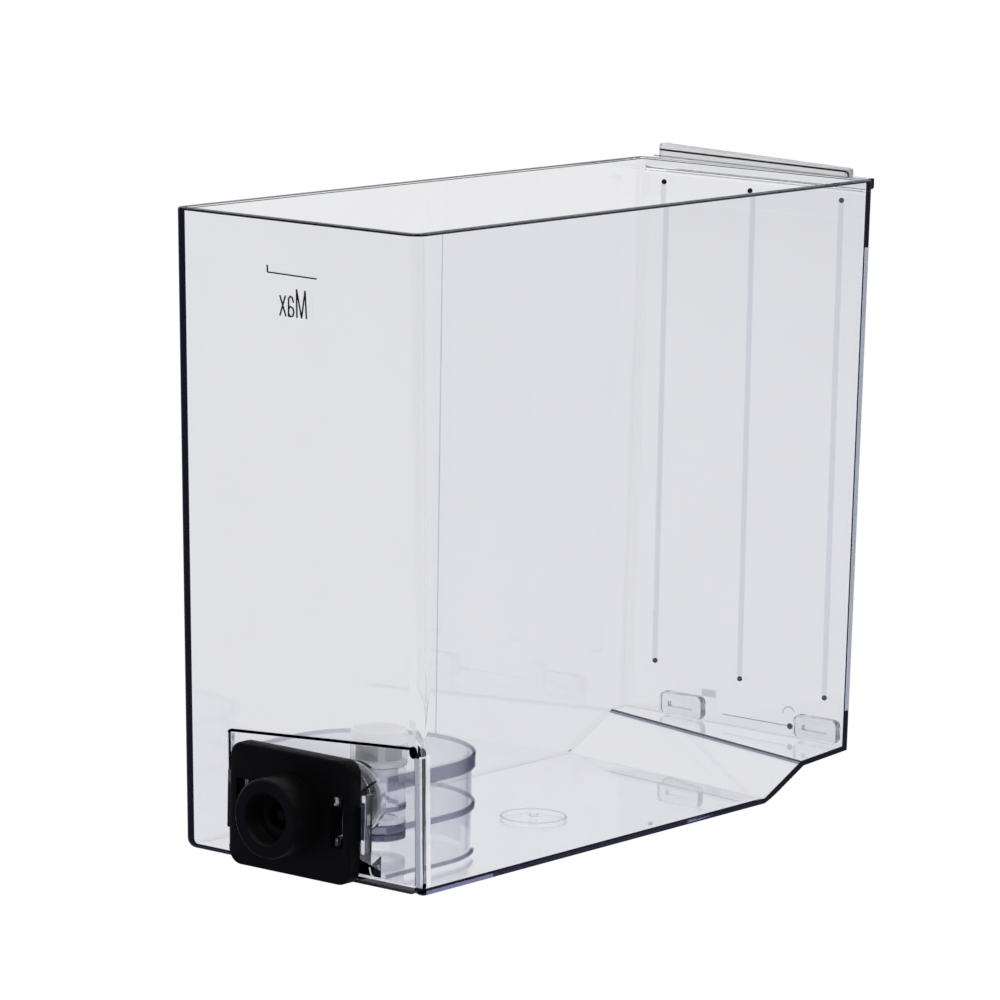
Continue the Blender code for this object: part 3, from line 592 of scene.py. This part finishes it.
def make_rim_painted_shades():
    """Painted shade round the rim: a dark line, and the faint band on top of it."""
    rim = shell_ring(RIM_Z - 0.42 * MM, 0.40 * MM)
    # A bead has two ends, so a long one and a short one meet at points 2 and 6 of the ring
    stand_in(add_object("rim_painted_shade", tube(rim[6:] + rim[:3], 0.36 * MM)), EDGE)
    stand_in(add_object("rim_corner_painted_shade", tube(rim[2:7], 0.34 * MM)), EDGE)
    loops = [shell_ring(RIM_Z, inset) for inset in (0.45 * MM, 2.1 * MM)]
    rows = []
    for lift in (0.01 * MM, 0.13 * MM):
        rows += [[(x, y, RIM_Z + lift) for x, y, _ in loop] for loop in loops]
    stand_in(add_object("rim_top_band", hoop(rows)), FAINT)


def make_step_painted_shade():
    """Painted shade: a grey line where the flat of the step folds down into the ramp."""
    top = RAMP_TOP - STEP_WALL * math.tan(RAMP_SLOPE / 2)
    floor = RAMP_RISE + STEP_WALL
    down = 1.9 * MM
    tail_y = top - down * math.cos(RAMP_SLOPE)
    tail_z = floor - down * math.sin(RAMP_SLOPE)
    back = 0.2 * MM
    section = [
        (top + back, floor + 0.04 * MM), (top + back, floor - 0.5 * MM),
        (tail_y + back, tail_z - 0.4 * MM), (tail_y, tail_z + 0.04 * MM),
        (top - 0.1 * MM, floor + 0.06 * MM),
    ]
    fold = sheared(moved(prism(section, -HALF + WALL, HALF - 2 * MM), ACROSS))
    stand_in(add_object("step_painted_shade", fold), FOLD)


def make_side_painted_shade():
    """Painted shade: a faint upright line in the right wall, behind the front corner."""
    x = HALF - WALL + 0.4 * MM
    low = SQUARE_TOP + 3 * MM
    high = RIM_Z - 1 * MM
    path = [(x, front_y(low) + 8.3 * MM, low), (x, front_y(high) + 13 * MM, high)]
    stand_in(add_object("side_painted_shade", tube(path, 0.28 * MM)), FAINT)


def make_grip_bar():
    """Raised bar along the rear rim, a little higher at its left end, with painted shade along its
    joints.
    """
    middle = REAR_TOP - 0.5 * MM
    half = 39.0 * MM
    depth = 2.4 * MM
    lift = 0.6 * MM
    outline = rounded(-half, half, middle - depth, middle + depth, 2.3 * MM)
    bar = add_object("grip_bar", prism(outline, RIM_Z + 0.05 * MM, TANK.z1))
    soften(bar, 0.7 * MM, 4)
    for vert in bar.data.vertices:
        if vert.co.z > RIM_Z + 1.5 * MM:
            vert.co.z += lift - 2 * lift * vert.co.x / half
    stand_in(bar, FROST)
    # Lines of painted shade along the bar's near face, one turning down its right end.
    near = middle - depth - 0.1 * MM
    end = half + 0.1 * MM
    path = [
        (-half + 1.5 * MM, near, RIM_Z + 3.2 * MM), (half - 1 * MM, near, RIM_Z + 2.1 * MM),
        (end - 0.3 * MM, near + 0.4 * MM, RIM_Z + 1.6 * MM),
        (end, near + 0.6 * MM, RIM_Z + 0.3 * MM),
    ]
    stand_in(add_object("grip_bar_joint_shade", tube(path, 0.32 * MM)), EDGE)
    path = [(-half - 1 * MM, near, RIM_Z + 1.1 * MM), (half, near, RIM_Z + 0.2 * MM)]
    stand_in(add_object("grip_bar_foot_shade", tube(path, 0.24 * MM)), RING)


def make_ribs():
    """Low ribs inside the rear wall, each ending in a small round boss at both ends."""
    # Place across the wall at the top, drift to the right at the foot, height of the foot
    ribs = (
        (-35.5 * MM, 2.4 * MM, 30.2 * MM), (0.0, 2.4 * MM, 28.9 * MM),
        (35.5 * MM, 1.6 * MM, 27.4 * MM),
    )
    top_z = 192.5 * MM
    half = 1.1 * MM
    depth = 0.9 * MM
    boss_radius = 0.85 * MM
    boss_height = 1.1 * MM
    # The ribs' grey and the bosses' dark colour are painted shade.
    for number, (top_x, drift, foot_z) in enumerate(ribs):
        ends = {"foot": (top_x + drift, foot_z), "top": (top_x, top_z)}
        rings = []
        for x, z in ends.values():
            y = rear_y(z) - WALL
            rings.append(level(rounded(x - half, x + half, y - depth, y - SUNK, 0.4 * MM, 5), z))
        stand_in(add_object(f"rear_rib_{number}", loft(rings)), RIB)
        for end, (x, z) in ends.items():
            boss = turned([
                (0, 0.0), (boss_radius, 0.0), (boss_radius, 0.5 * MM), (0.6 * MM, 0.95 * MM),
                (0, boss_height),
            ], 32)
            place = Matrix.Translation((x, rear_y(z) - WALL - SUNK, z))
            moved(boss, place @ Matrix.Rotation(math.pi / 2, 4, "X"))
            stand_in(add_object(f"rib_{end}_boss_{number}", boss), MARK)


def ribbon(bm, start, end, width, sunk, height):
    """A straight stroke between two (x, z) points, raised on the front wall."""
    x0, z0 = start
    x1, z1 = end
    along = Vector((x1 - x0, z1 - z0)).normalized()
    across = Vector((-along.y, along.x)) * width / 2
    reach = along * width * 0.35
    corners = [
        (x0 - reach.x + across.x, z0 - reach.y + across.y),
        (x0 - reach.x - across.x, z0 - reach.y - across.y),
        (x1 + reach.x - across.x, z1 + reach.y - across.y),
        (x1 + reach.x + across.x, z1 + reach.y + across.y),
    ]
    rows = []
    for out in (-sunk, height):
        rows.append([bm.verts.new((x, front_y(z) - out, z)) for x, z in corners])
    for i in range(4):
        j = (i + 1) % 4
        bm.faces.new((rows[0][i], rows[0][j], rows[1][j], rows[1][i]))
    bm.faces.new(list(reversed(rows[0])))
    bm.faces.new(rows[1])


def make_level_mark():
    """Fill line with its word, raised on the front wall and read from inside the tank."""
    # Each stroke runs through its (x, z) points, in millimetres; x falls along the word
    marks = {
        "fill_line": [[(-10.6, 185.6), (-10.5, 183.6), (8.6, 183.3)]],
        "letter_m": [[(4.6, 171.0), (4.2, 179.2), (2.7, 171.0), (0.85, 179.3), (0.9, 171.0)]],
        "letter_a": [
            [(-0.45, 175.4), (-0.9, 176.8), (-1.7, 177.1), (-2.3, 176.3), (-2.4, 171.0)],
            [
                (-2.3, 173.2), (-1.7, 174.0), (-0.7, 173.6), (-0.3, 172.5), (-0.7, 171.2),
                (-1.7, 170.9), (-2.3, 171.8),
            ],
        ],
        "letter_x": [[(-3.5, 171.0), (-5.7, 176.9)], [(-3.6, 177.0), (-5.8, 171.0)]],
    }
    for name, strokes in marks.items():
        bm = bmesh.new()
        for stroke in strokes:
            points = [(x * MM, z * MM) for x, z in stroke]
            for start, end in zip(points, points[1:]):
                ribbon(bm, start, end, 0.4 * MM, SUNK, 0.25 * MM)
        stand_in(add_object(name, bm), MARK)


def make_floor_ring():
    """Round gate mark moulded in the floor, with its nub."""
    place = Matrix.Translation((9.2 * MM, -8.5 * MM, WALL))
    inner = 9.9 * MM
    outer = 10.7 * MM
    draft = 0.25 * MM
    height = 0.35 * MM
    ring = turned([
        (inner, -SUNK), (outer, -SUNK), (outer - draft, height), (inner + draft, height),
    ])
    stand_in(add_object("gate_ring", moved(ring, place)), BAND)
    nub = turned([
        (0, -SUNK), (1.5 * MM, -SUNK), (1.3 * MM, 0.8 * MM), (0.7 * MM, 1.2 * MM),
        (0, 1.25 * MM),
    ], 32)
    stand_in(add_object("gate_nub", moved(nub, place)), INSERT)


# Outlet ----------------------------------------------------------------------------

# The well is a horseshoe wall behind the carrier's flange; COLLAR is its bands' overhang
WELL_RIGHT = 33.0 * MM
WELL_CENTRE = (CARRIER.x0 + WELL_RIGHT) / 2
COLLAR = 1.1 * MM
WELL_RADIUS = (WELL_RIGHT - CARRIER.x0) / 2 - COLLAR
WELL_BACK = CARRIER.y1 - COLLAR
WELL_WALL = 1.5 * MM
WELL_FOOT = WALL + GAP
WELL_RIM = 34.5 * MM


def leaning(bm):
    """Tilts a piece drawn on the upright face onto the leaning front wall."""
    for vert in bm.verts:
        vert.co.y += front_y(vert.co.z) - FACE
    return bm


def make_cutout_painted_shades():
    """Painted shade along the joint at the top of the cut-out, and at its stop by the corner post.
    """
    left = CUT_LEFT + 0.15 * MM
    path = [(left, CUT_TOP - 7 * MM)]
    path += arc(left + CUT_ROUND, CUT_TOP - CUT_ROUND, CUT_ROUND, 180, 90, 5)
    path += [(-10 * MM, CUT_TOP), (10 * MM, CUT_TOP), (HALF - 2.6 * MM, CUT_TOP)]
    points = [(x, front_y(z) + 0.1 * MM, z + CUT_SLOPE * x) for x, z in path]
    stand_in(add_object("cutout_painted_shade", tube(points[3:], 0.50 * MM)), EDGE)
    stand_in(add_object("cutout_side_painted_shade", tube(points[:4], 0.20 * MM)), SOFT)
    stop = disc(1.5 * MM, -0.5 * MM, 0.15 * MM, 40)
    bmesh.ops.scale(stop, vec=(1.0, 1.25, 1.0), verts=stop.verts)
    x = HALF - 3.0 * MM
    z = CUT_TOP + CUT_SLOPE * x - 1.1 * MM
    place = Matrix.Translation((x, front_y(z) - FACE, z))
    stand_in(add_object("cutout_stop", moved(stop, place @ UPRIGHT)), EDGE)


def make_corner_post_light_and_shade():
    """Painted highlights and painted shade in strips down the square post beside the cut-out, its
    cap and its foot.
    """
    top = SQUARE_TOP - 3 * MM
    bottom = FOOT_ROUND - 0.4 * MM
    inner = HALF - 2.3 * MM
    edge = HALF - 0.5 * MM
    skin = HALF + PROUD
    # From the front face round to the side: x range, depth range behind the face, look
    strips = {
        "post_face": (inner, edge, -PROUD, PROUD, GLEAM),
        "post_corner": (edge, skin, -PROUD, 0.3 * MM, HIGHLIGHT),
        "post_core": (edge, HALF + 0.03 * MM, 0.3 * MM, 2.2 * MM, RING),
        "post_side": (HALF - PROUD, skin, 2.2 * MM, 4.2 * MM, HIGHLIGHT),
    }
    for name, (x0, x1, y0, y1, mat) in strips.items():
        strip = leaning(block(x0, x1, FACE + y0, FACE + y1, bottom, top))
        stand_in(add_object(name, strip), mat)
    cap = block(HALF - 0.6 * MM, skin, FACE - PROUD, FACE + 4.2 * MM, top, top + 0.5 * MM)
    stand_in(add_object("post_cap", leaning(cap)), HIGHLIGHT)
    foot = block(
        HALF - 1.8 * MM, HALF + 0.03 * MM, FACE + 0.1 * MM, FACE + 1.9 * MM, 1.0 * MM, 3.9 * MM,
    )
    stand_in(add_object("post_foot", foot), EDGE)


def make_sill_light():
    """Painted light on the edges below the cut-out and along the foot of the right wall: a painted
    highlight and a dim bluish painted sheen.
    """
    sill = block(
        HALF - PROUD, HALF + PROUD, FACE + 2.2 * MM, FACE + 34 * MM, 0.35 * MM, 1.5 * MM,
    )
    stand_in(add_object("side_sill", sill), SILL)
    z = 2.9 * MM
    bend = [(1.5 * MM, z + 3 * MM), (2.2 * MM, z + 0.9 * MM), (3.5 * MM, z)]
    path = [(PLATE.x1 + beside, FACE, height) for beside, height in bend]
    path.append((HALF - 2.3 * MM, FACE, z))
    stand_in(add_object("sill_edge", tube(path, 0.24 * MM)), HIGHLIGHT)


def make_guide_shadow():
    """Dark gap that shows between the coupling plate and the carrier's side guide."""
    x = PLATE.x1 + 0.9 * MM
    z = AXIS_Z - 5.2 * MM
    shade = block(x, x + 1.1 * MM, FACE - 0.03 * MM, FACE + 0.4 * MM, z, z + 11.5 * MM)
    stand_in(add_object("guide_shadow", shade), EDGE)


def make_rear_corner_gleam():
    """Painted highlight: a pale line where the right wall turns into the rear wall."""
    low = 24.5 * MM
    high = RIM_Z - 22 * MM
    steps = 12
    depth = 0.20 * MM
    rise = 0.05 * MM
    run = 1.3 * MM
    rows = []
    for step in range(steps + 1):
        z = low + (high - low) * step / steps
        end = rear_y(z) - CORNER
        plan = [(HALF + rise, end - run)]
        plan += arc(HALF - CORNER, end, CORNER + rise, 0, 50, 6)
        plan += arc(HALF - CORNER, end, CORNER - depth, 50, 0, 6)
        plan.append((HALF - depth, end - run))
        rows.append(level(plan, z))
    stand_in(add_object("rear_corner_gleam", loft(rows)), GLEAM)


def well_outline(grow, front=FACE + FLANGE - 0.3 * MM):
    """Horseshoe in plan, open towards the carrier's flange."""
    radius = WELL_RADIUS + grow
    bend = WELL_BACK + grow - radius
    sides = [(WELL_CENTRE - radius, front), (WELL_CENTRE + radius, front)]
    return sides + arc(WELL_CENTRE, bend, radius, 0, 180, 72)


def make_carrier():
    """Flange that fills the cut-out, with the outlet's socket, four hooks and two guides."""
    flange = moved(prism(window_outline(GAP, GAP), -FLANGE, 0.0), UPRIGHT)
    carrier = add_object("carrier", flange)
    boolean(carrier, moved(disc(11.5 * MM, -20 * MM, -1 * MM, 96), OUTLET), "UNION")
    boolean(carrier, moved(disc(9.5 * MM, -21 * MM, 1 * MM, 96), OUTLET))
    for side in (-1, 1):
        for height in (-6.2 * MM, 6.2 * MM):
            boolean(carrier, hook(side, height), "UNION")
        x = side * 26.8 * MM
        guide = block(x - 0.8 * MM, x + 0.8 * MM, -9 * MM, 9 * MM, -1 * MM, 3 * MM)
        boolean(carrier, moved(guide, OUTLET), "UNION")
    soften(carrier, 0.25 * MM)
    stand_in(carrier, INSERT, "outlet_carrier")


def make_well():
    """Clear wall round the elbow, with an arch to either side at its foot."""
    well = add_object("well", prism(well_outline(0.0), WELL_FOOT, WELL_RIM))
    boolean(well, prism(well_outline(-WELL_WALL, FACE + FLANGE), -1 * MM, TANK.z1))
    for side in (-1, 1):
        arch = block(-6 * MM, 6 * MM, 0, 60 * MM, -1 * MM, WELL_FOOT + 6 * MM)
        turn = Matrix.Rotation(-math.radians(38.0) * side, 4, "Z")
        place = Matrix.Translation((WELL_CENTRE, WELL_BACK - WELL_RADIUS, 0)) @ turn
        boolean(well, moved(arch, place))
    soften(well, 0.25 * MM)
    stand_in(well, WELL)


def make_well_bands():
    """Bands of painted shade round the well, each in two lengths: darker at the side, fainter at
    the back.
    """
    side_end = WELL_BACK - 0.4 * WELL_RADIUS
    bands = (
        ("rim_side", 29.7 * MM, 34.3 * MM, "INTERSECT", SHADED),
        ("rim_back", 32.9 * MM, 34.3 * MM, "DIFFERENCE", SOFT),
        ("foot_side", 2.9 * MM, 4.2 * MM, "INTERSECT", SHADED),
        ("mid_side", 16.8 * MM, 18.8 * MM, "INTERSECT", SHADED),
        ("mid_back", 17.4 * MM, 18.8 * MM, "DIFFERENCE", SOFT),
    )
    for name, low, high, operation, mat in bands:
        band = add_object(f"well_band_{name}", prism(well_outline(COLLAR), low, high))
        boolean(band, prism(well_outline(SUNK, FACE), low - 1 * MM, high + 1 * MM))
        boolean(band, block(WELL_CENTRE, HALF, FACE - 9 * MM, side_end, 0, RIM_Z), operation)
        soften(band, 0.3 * MM)
        stand_in(band, mat)


def hook(side, height):
    """Snap hook beside the outlet, which holds the coupling plate."""
    inner = 16.75 * MM
    outer = 18.55 * MM
    catch = 3.7 * MM
    tip = 5 * MM
    half = 1.3 * MM
    root = -1 * MM
    profile = [
        (inner, root), (outer, root), (outer, catch), (outer + 1.3 * MM, catch), (outer, tip),
        (inner, tip),
    ]
    bm = prism(profile, height - half, height + half)
    turn = Matrix(((side, 0, 0, 0), (0, 0, 1, 0), (0, 1, 0, 0), (0, 0, 0, 1)))
    return moved(bm, OUTLET @ turn)


def make_plate():
    """Black coupling plate with its boss, stepped bore, two slots and side lugs."""
    half_w = 24.0 * MM
    half_h = (PLATE.z1 - PLATE.z0) / 2
    back = 0.8 * MM
    front = 6.2 * MM
    outline = rounded(-half_w, half_w, -half_h, half_h, 4.5 * MM)
    plate = add_object("plate", prism(outline, back, front))
    soften(plate, 0.6 * MM, 4, 60)
    boss_radius = 12.35 * MM
    boss_front = 17.4 * MM
    boss = turned([
        (0, 1.3 * MM), (boss_radius, 1.3 * MM), (boss_radius, 16.5 * MM),
        (12.2 * MM, 17.0 * MM), (11.8 * MM, 17.3 * MM), (11.45 * MM, boss_front),
        (0, boss_front),
    ])
    boolean(plate, boss, "UNION")
    valve_radius = 5.6 * MM
    bore_radius = 7.25 * MM
    mouth_radius = 8.3 * MM
    valve_front = 9 * MM
    beyond = 19 * MM
    bore = turned([
        (0, 0.0), (valve_radius, 0.0), (valve_radius, valve_front), (bore_radius, valve_front),
        (bore_radius, 16.2 * MM), (mouth_radius, boss_front), (mouth_radius, beyond),
        (0, beyond),
    ])
    boolean(plate, bore)
    boolean(plate, disc(12.3 * MM, 0.0, 3 * MM, 96))
    slot_inner = 16.5 * MM
    slot_ledge = 20.0 * MM
    slot_outer = 21.3 * MM
    slot_half = 7.9 * MM
    ledge_z = 3.4 * MM
    above = 8 * MM
    for side in (-1, 1):
        for reach, low in ((slot_outer, ledge_z), (slot_ledge, 0.0)):
            x0, x1 = sorted((side * slot_inner, side * reach))
            boolean(plate, block(x0, x1, -slot_half, slot_half, low, above))
        x0, x1 = sorted((side * (half_w - 1 * MM), side * (half_w + 1.4 * MM)))
        lug = block(x0, x1, -5.2 * MM, 5.2 * MM, back, back + 2 * MM)
        boolean(plate, lug, "UNION")
    plate.data.transform(OUTLET)
    stand_in(plate, BLACK, "coupling_plate")


def make_elbow():
    """Chamber, upright strainer housing and the rings round its foot."""
    riser_y = STRAINER.mid.y
    neck_end = FACE - riser_y + 0.7 * MM
    shoulder = -27.6 * MM
    chamber_front = -20.3 * MM
    neck_radius = 7.6 * MM
    chamber_radius = 11.5 * MM
    chamber = turned([
        (0, neck_end), (neck_radius, neck_end), (neck_radius, shoulder - 0.6 * MM),
        (neck_radius + 0.6 * MM, shoulder), (chamber_radius - 0.6 * MM, shoulder),
        (chamber_radius, shoulder + 0.6 * MM), (chamber_radius, chamber_front),
        (0, chamber_front),
    ])
    elbow = add_object("elbow", moved(chamber, OUTLET))
    place = Matrix.Translation((0, riser_y, 0))
    foot = ELBOW.z0
    top = STRAINER.z0 + 4.5 * MM
    riser_radius = 8.5 * MM
    riser = turned([
        (0, foot), (riser_radius - 0.5 * MM, foot), (riser_radius, foot + 0.5 * MM),
        (riser_radius, top), (0, top),
    ])
    boolean(elbow, moved(riser, place), "UNION")
    duct_radius = 6 * MM
    hollow_radius = 9.5 * MM
    duct_end = neck_end + 0.9 * MM
    hollow_back = shoulder + 1 * MM
    beyond = -19 * MM
    inside = turned([
        (0, duct_end), (duct_radius, duct_end), (duct_radius, hollow_back),
        (hollow_radius, hollow_back), (hollow_radius, beyond), (0, beyond),
    ])
    boolean(elbow, moved(inside, OUTLET))
    bore = disc(6.5 * MM, 11.5 * MM, top + 1 * MM, 96)
    boolean(elbow, moved(bore, place))
    soften(elbow, 0.25 * MM)
    stand_in(elbow, INSERT, "outlet_elbow")
    # The rings round its foot are drawn as bands of painted shade.
    inner = riser_radius - 0.3 * MM
    outer = riser_radius + 0.2 * MM
    heights = ((14.4 * MM, 16.0 * MM), (9.8 * MM, 10.3 * MM), (5.2 * MM, 7.8 * MM))
    for number, (low, high) in enumerate(heights):
        band = turned([(inner, low), (outer, low), (outer, high), (inner, high)])
        stand_in(add_object(f"elbow_ring_{number}", moved(band, place)), RING)


def make_strainer():
    """Milky cap and hazy foot of the strainer, joined by four posts round the gauze."""
    # The cap, the foot and the posts glow a little: painted light.
    place = Matrix.Translation((0, STRAINER.mid.y, 0))
    top = STRAINER.z1
    roof = GAUZE.z1 + GAP
    flange = GAUZE.z0 - GAP
    under = flange - 1.5 * MM
    foot = STRAINER.z0
    radius = 9 * MM
    spigot = 6.2 * MM
    bore = 4.8 * MM
    base = turned([
        (bore, foot), (spigot, foot), (spigot, under), (radius, under), (radius, flange),
        (bore, flange),
    ])
    base_piece = add_object("strainer_base", moved(base, place))
    soften(base_piece, 0.25 * MM)
    stand_in(base_piece, HAZY, "strainer_frame")
    cap = turned([
        (0, roof), (radius, roof), (radius, top - 1.2 * MM), (8.65 * MM, top - 0.35 * MM),
        (7.8 * MM, top), (0, top),
    ])
    stand_in(add_object("strainer_cap", moved(cap, place)), MILKY)
    half = 1.1 * MM
    overlap = 0.6 * MM
    for number in range(4):
        post = block(7.7 * MM, 8.85 * MM, -half, half, flange - overlap, roof + overlap)
        turn = Matrix.Rotation(math.radians(45 + 90 * number), 4, "Z")
        stand_in(add_object(f"strainer_post_{number}", moved(post, place @ turn)), HAZY)


def make_spring():
    """Coil between the poppet and its cap; it shortens as the poppet moves back."""
    wire = 0.4 * MM
    turns = 5
    steps = turns * 24
    radius = (SPRING.x1 - SPRING.x0) / 2 - wire
    near = SPRING.y0 + wire
    far = SPRING.y1 - wire
    path = []
    for step in range(steps + 1):
        share = step / steps
        angle = 2 * math.pi * turns * share
        x = radius * math.cos(angle)
        z = SPRING.mid.z + radius * math.sin(angle)
        path.append((x, near + (far - near) * share, z))
    coil = add_object("spring_coil", tube(path, wire, 8, (0, 1, 0)))
    stand_in(coil, STEEL, "valve_spring")
    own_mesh(coil)


def make_pads():
    """Guide pads at the foot of the rear wall, each with a blind slot."""
    slot_inset = 4 * MM
    slot_depth = 1.4 * MM
    slot_half = 0.8 * MM
    for name, box in (("rear_guide_left", LEFT_PAD), ("rear_guide_right", RIGHT_PAD)):
        outline = rounded(box.x0, box.x1, box.z0, box.z1, 2.2 * MM)
        faces = [[(x, y, z) for x, z in outline] for y in (box.y1, box.y0)]
        pad = add_object(f"{name}_clear", loft(faces))
        slot = block(
            box.x0 + slot_inset, box.x1 - slot_inset, box.y0 - 1 * MM, box.y0 + slot_depth,
            box.mid.z - slot_half, box.mid.z + slot_half,
        )
        boolean(pad, slot)
        soften(pad, 0.8 * MM, 4)
        stand_in(pad, PAD, name)


def make_rear_details():
    """Moulding line with its dot, latch edge and small lug between the guide pads."""
    # The line, dot, latch edge and lug are drawn in painted shade.
    y = LEFT_PAD.y1 - 0.2 * MM
    line_z = 16.0 * MM
    line = tube([(-4 * MM, y, line_z), (23 * MM, y, line_z)], 0.22 * MM)
    stand_in(add_object("rear_line", line), RING)
    dot = disc(1.0 * MM, 0.0, 0.5 * MM, 32)
    place = Matrix.Translation((24 * MM, y, line_z)) @ Matrix.Rotation(math.pi / 2, 4, "X")
    stand_in(add_object("rear_dot", moved(dot, place)), EDGE)
    latch_z = line_z + 4 * MM
    latch = [(20.8 * MM, y, latch_z)]
    latch += [(x, y, z) for x, z in arc(23.2 * MM, latch_z, 2.4 * MM, 180, 20, 8)]
    stand_in(add_object("rear_latch_edge", tube(latch, 0.3 * MM)), FAINT)
    lug = block(-12.3 * MM, -6.6 * MM, y - 1 * MM, y, 21.2 * MM, 23.6 * MM)
    stand_in(add_object("rear_lug", lug), SOFT)


# Lights, floor and camera -----------------------------------------------------------

CAMERA_AZIMUTH = 38.04
CAMERA_ELEVATION = 9.476
CAMERA_ROLL = 1.345
CAMERA_DISTANCE = 1.712
CAMERA_TARGET_Z = 0.10207
CAMERA_SHIFT = -0.0312
SENSOR_WIDTH = 36.0
FOCAL_PER_WIDTH = 5.4


DIM_ROOM = (0.010, 0.010, 0.030, 1)
SWEEP = (0.95, 0.95, 0.96, 1)
OVERHEAD = 1.15
TABLE_HALF = 6.0
TABLE_NEAR = 0.004
TABLE_FAR = 0.89
TABLE_MIRRORED = (0.20, 0.20, 0.36, 1)


def camera_basis():
    """Right, up and back directions of the camera, with its small roll."""
    azimuth = math.radians(CAMERA_AZIMUTH)
    rise = math.radians(CAMERA_ELEVATION)
    roll = math.radians(CAMERA_ROLL)
    out = math.cos(rise)
    back = Vector((math.sin(azimuth) * out, -math.cos(azimuth) * out, math.sin(rise)))
    right = Vector((math.cos(azimuth), math.sin(azimuth), 0.0))
    up = back.cross(right)
    return (
        math.cos(roll) * right + math.sin(roll) * up,
        -math.sin(roll) * right + math.cos(roll) * up,
        back,
    )


def add_camera():
    right, up, back = camera_basis()
    data = bpy.data.cameras.new("camera")
    data.sensor_width = SENSOR_WIDTH
    data.lens = FOCAL_PER_WIDTH * SENSOR_WIDTH
    data.shift_x = CAMERA_SHIFT
    data.clip_start = 0.05
    data.clip_end = 50.0
    cam = bpy.data.objects.new("camera", data)
    place = Vector((0.0, 0.0, CAMERA_TARGET_Z)) + back * CAMERA_DISTANCE
    turn = Matrix((right, up, back)).transposed()
    cam.matrix_world = Matrix.Translation(place) @ turn.to_4x4()
    bpy.context.scene.collection.objects.link(cam)
    bpy.context.scene.camera = cam


def depth_from(tree, vector):
    """Component of a world vector along the viewing direction."""
    turn = tree.nodes.new("ShaderNodeVectorTransform")
    turn.vector_type = "VECTOR"
    turn.convert_from = "WORLD"
    turn.convert_to = "CAMERA"
    tree.links.new(vector, turn.inputs["Vector"])
    split = tree.nodes.new("ShaderNodeSeparateXYZ")
    tree.links.new(turn.outputs["Vector"], split.inputs["Vector"])
    return split.outputs["Z"]


def add_world():
    """Plain soft studio light, from wherever the camera looks.

    A white sweep stands behind the part, the ceiling is bright, and the room is dim on the
    camera's side.
    """
    world = bpy.data.worlds.new("studio")
    bpy.context.scene.world = world
    world.use_nodes = True
    tree = world.node_tree
    links = tree.links
    coords = node(tree, "ShaderNodeTexCoord")
    behind = node(tree, "ShaderNodeMapRange", From_Min=-0.35, From_Max=0.2)
    links.new(depth_from(tree, coords.outputs["Generated"]), behind.inputs["Value"])
    ramp = node(tree, "ShaderNodeValToRGB")
    ramp.color_ramp.elements[0].color = DIM_ROOM
    ramp.color_ramp.elements[1].color = SWEEP
    links.new(behind.outputs["Result"], ramp.inputs["Fac"])
    height = tree.nodes.new("ShaderNodeSeparateXYZ")
    links.new(coords.outputs["Generated"], height.inputs["Vector"])
    above = node(tree, "ShaderNodeMapRange", From_Min=0.30, From_Max=0.75, To_Max=OVERHEAD)
    links.new(height.outputs["Z"], above.inputs["Value"])
    brighter = tree.nodes.new("ShaderNodeVectorMath")
    brighter.operation = "MAXIMUM"
    links.new(ramp.outputs["Color"], brighter.inputs[0])
    links.new(above.outputs["Result"], brighter.inputs[1])
    background = tree.nodes["Background"]
    links.new(brighter.outputs["Vector"], background.inputs["Color"])


def add_floor():
    """Plain white table that glows, less and less towards the camera.

    The camera itself sees it white, and faces that mirror it show it dim and bluish.
    """
    bm = bmesh.new()
    bmesh.ops.create_grid(bm, x_segments=1, y_segments=1, size=TABLE_HALF)
    floor = add_object("floor", bm)
    floor.location.z = -0.2 * MM
    mat = bpy.data.materials.new("pale_floor")
    mat.use_nodes = True
    tree = mat.node_tree
    links = tree.links
    shader = tree.nodes["Principled BSDF"]
    shader.inputs["Base Color"].default_value = (0.0, 0.0, 0.0, 1)
    shader.inputs["Specular IOR Level"].default_value = 0.0
    coords = node(tree, "ShaderNodeTexCoord")
    fade = node(
        tree, "ShaderNodeMapRange", From_Min=-0.70, From_Max=-0.22, To_Min=TABLE_NEAR,
        To_Max=TABLE_FAR,
    )
    links.new(depth_from(tree, coords.outputs["Object"]), fade.inputs["Value"])
    path = node(tree, "ShaderNodeLightPath")
    seen = tree.nodes.new("ShaderNodeMath")
    seen.operation = "MAXIMUM"
    links.new(path.outputs["Is Camera Ray"], seen.inputs[0])
    links.new(fade.outputs["Result"], seen.inputs[1])
    mirrored = node(tree, "ShaderNodeValToRGB")
    mirrored.color_ramp.elements[0].color = (1, 1, 1, 1)
    mirrored.color_ramp.elements[1].color = TABLE_MIRRORED
    links.new(path.outputs["Is Reflection Ray"], mirrored.inputs["Fac"])
    links.new(mirrored.outputs["Color"], shader.inputs["Emission Color"])
    links.new(seen.outputs["Value"], shader.inputs["Emission Strength"])
    floor.data.materials.append(mat)


def colour_carried_over():
    for name, mat in CARRIED_OVER.items():
        materials = NODES[name].data.materials
        materials.clear()
        materials.append(mat)


def main():
    make_shell()
    make_rim_painted_shades()
    make_step_painted_shade()
    make_side_painted_shade()
    make_cutout_painted_shades()
    make_corner_post_light_and_shade()
    make_sill_light()
    make_guide_shadow()
    make_rear_corner_gleam()
    make_grip_bar()
    make_ribs()
    make_level_mark()
    make_floor_ring()
    make_carrier()
    make_well()
    make_well_bands()
    make_plate()
    make_elbow()
    make_strainer()
    make_spring()
    make_pads()
    make_rear_details()
    colour_carried_over()
    add_world()
    add_floor()
    add_camera()
    scene = bpy.context.scene
    scene.view_settings.view_transform = "Standard"
    scene.cycles.max_bounces = 28
    scene.cycles.transmission_bounces = 28
    scene.cycles.transparent_max_bounces = 16


main()
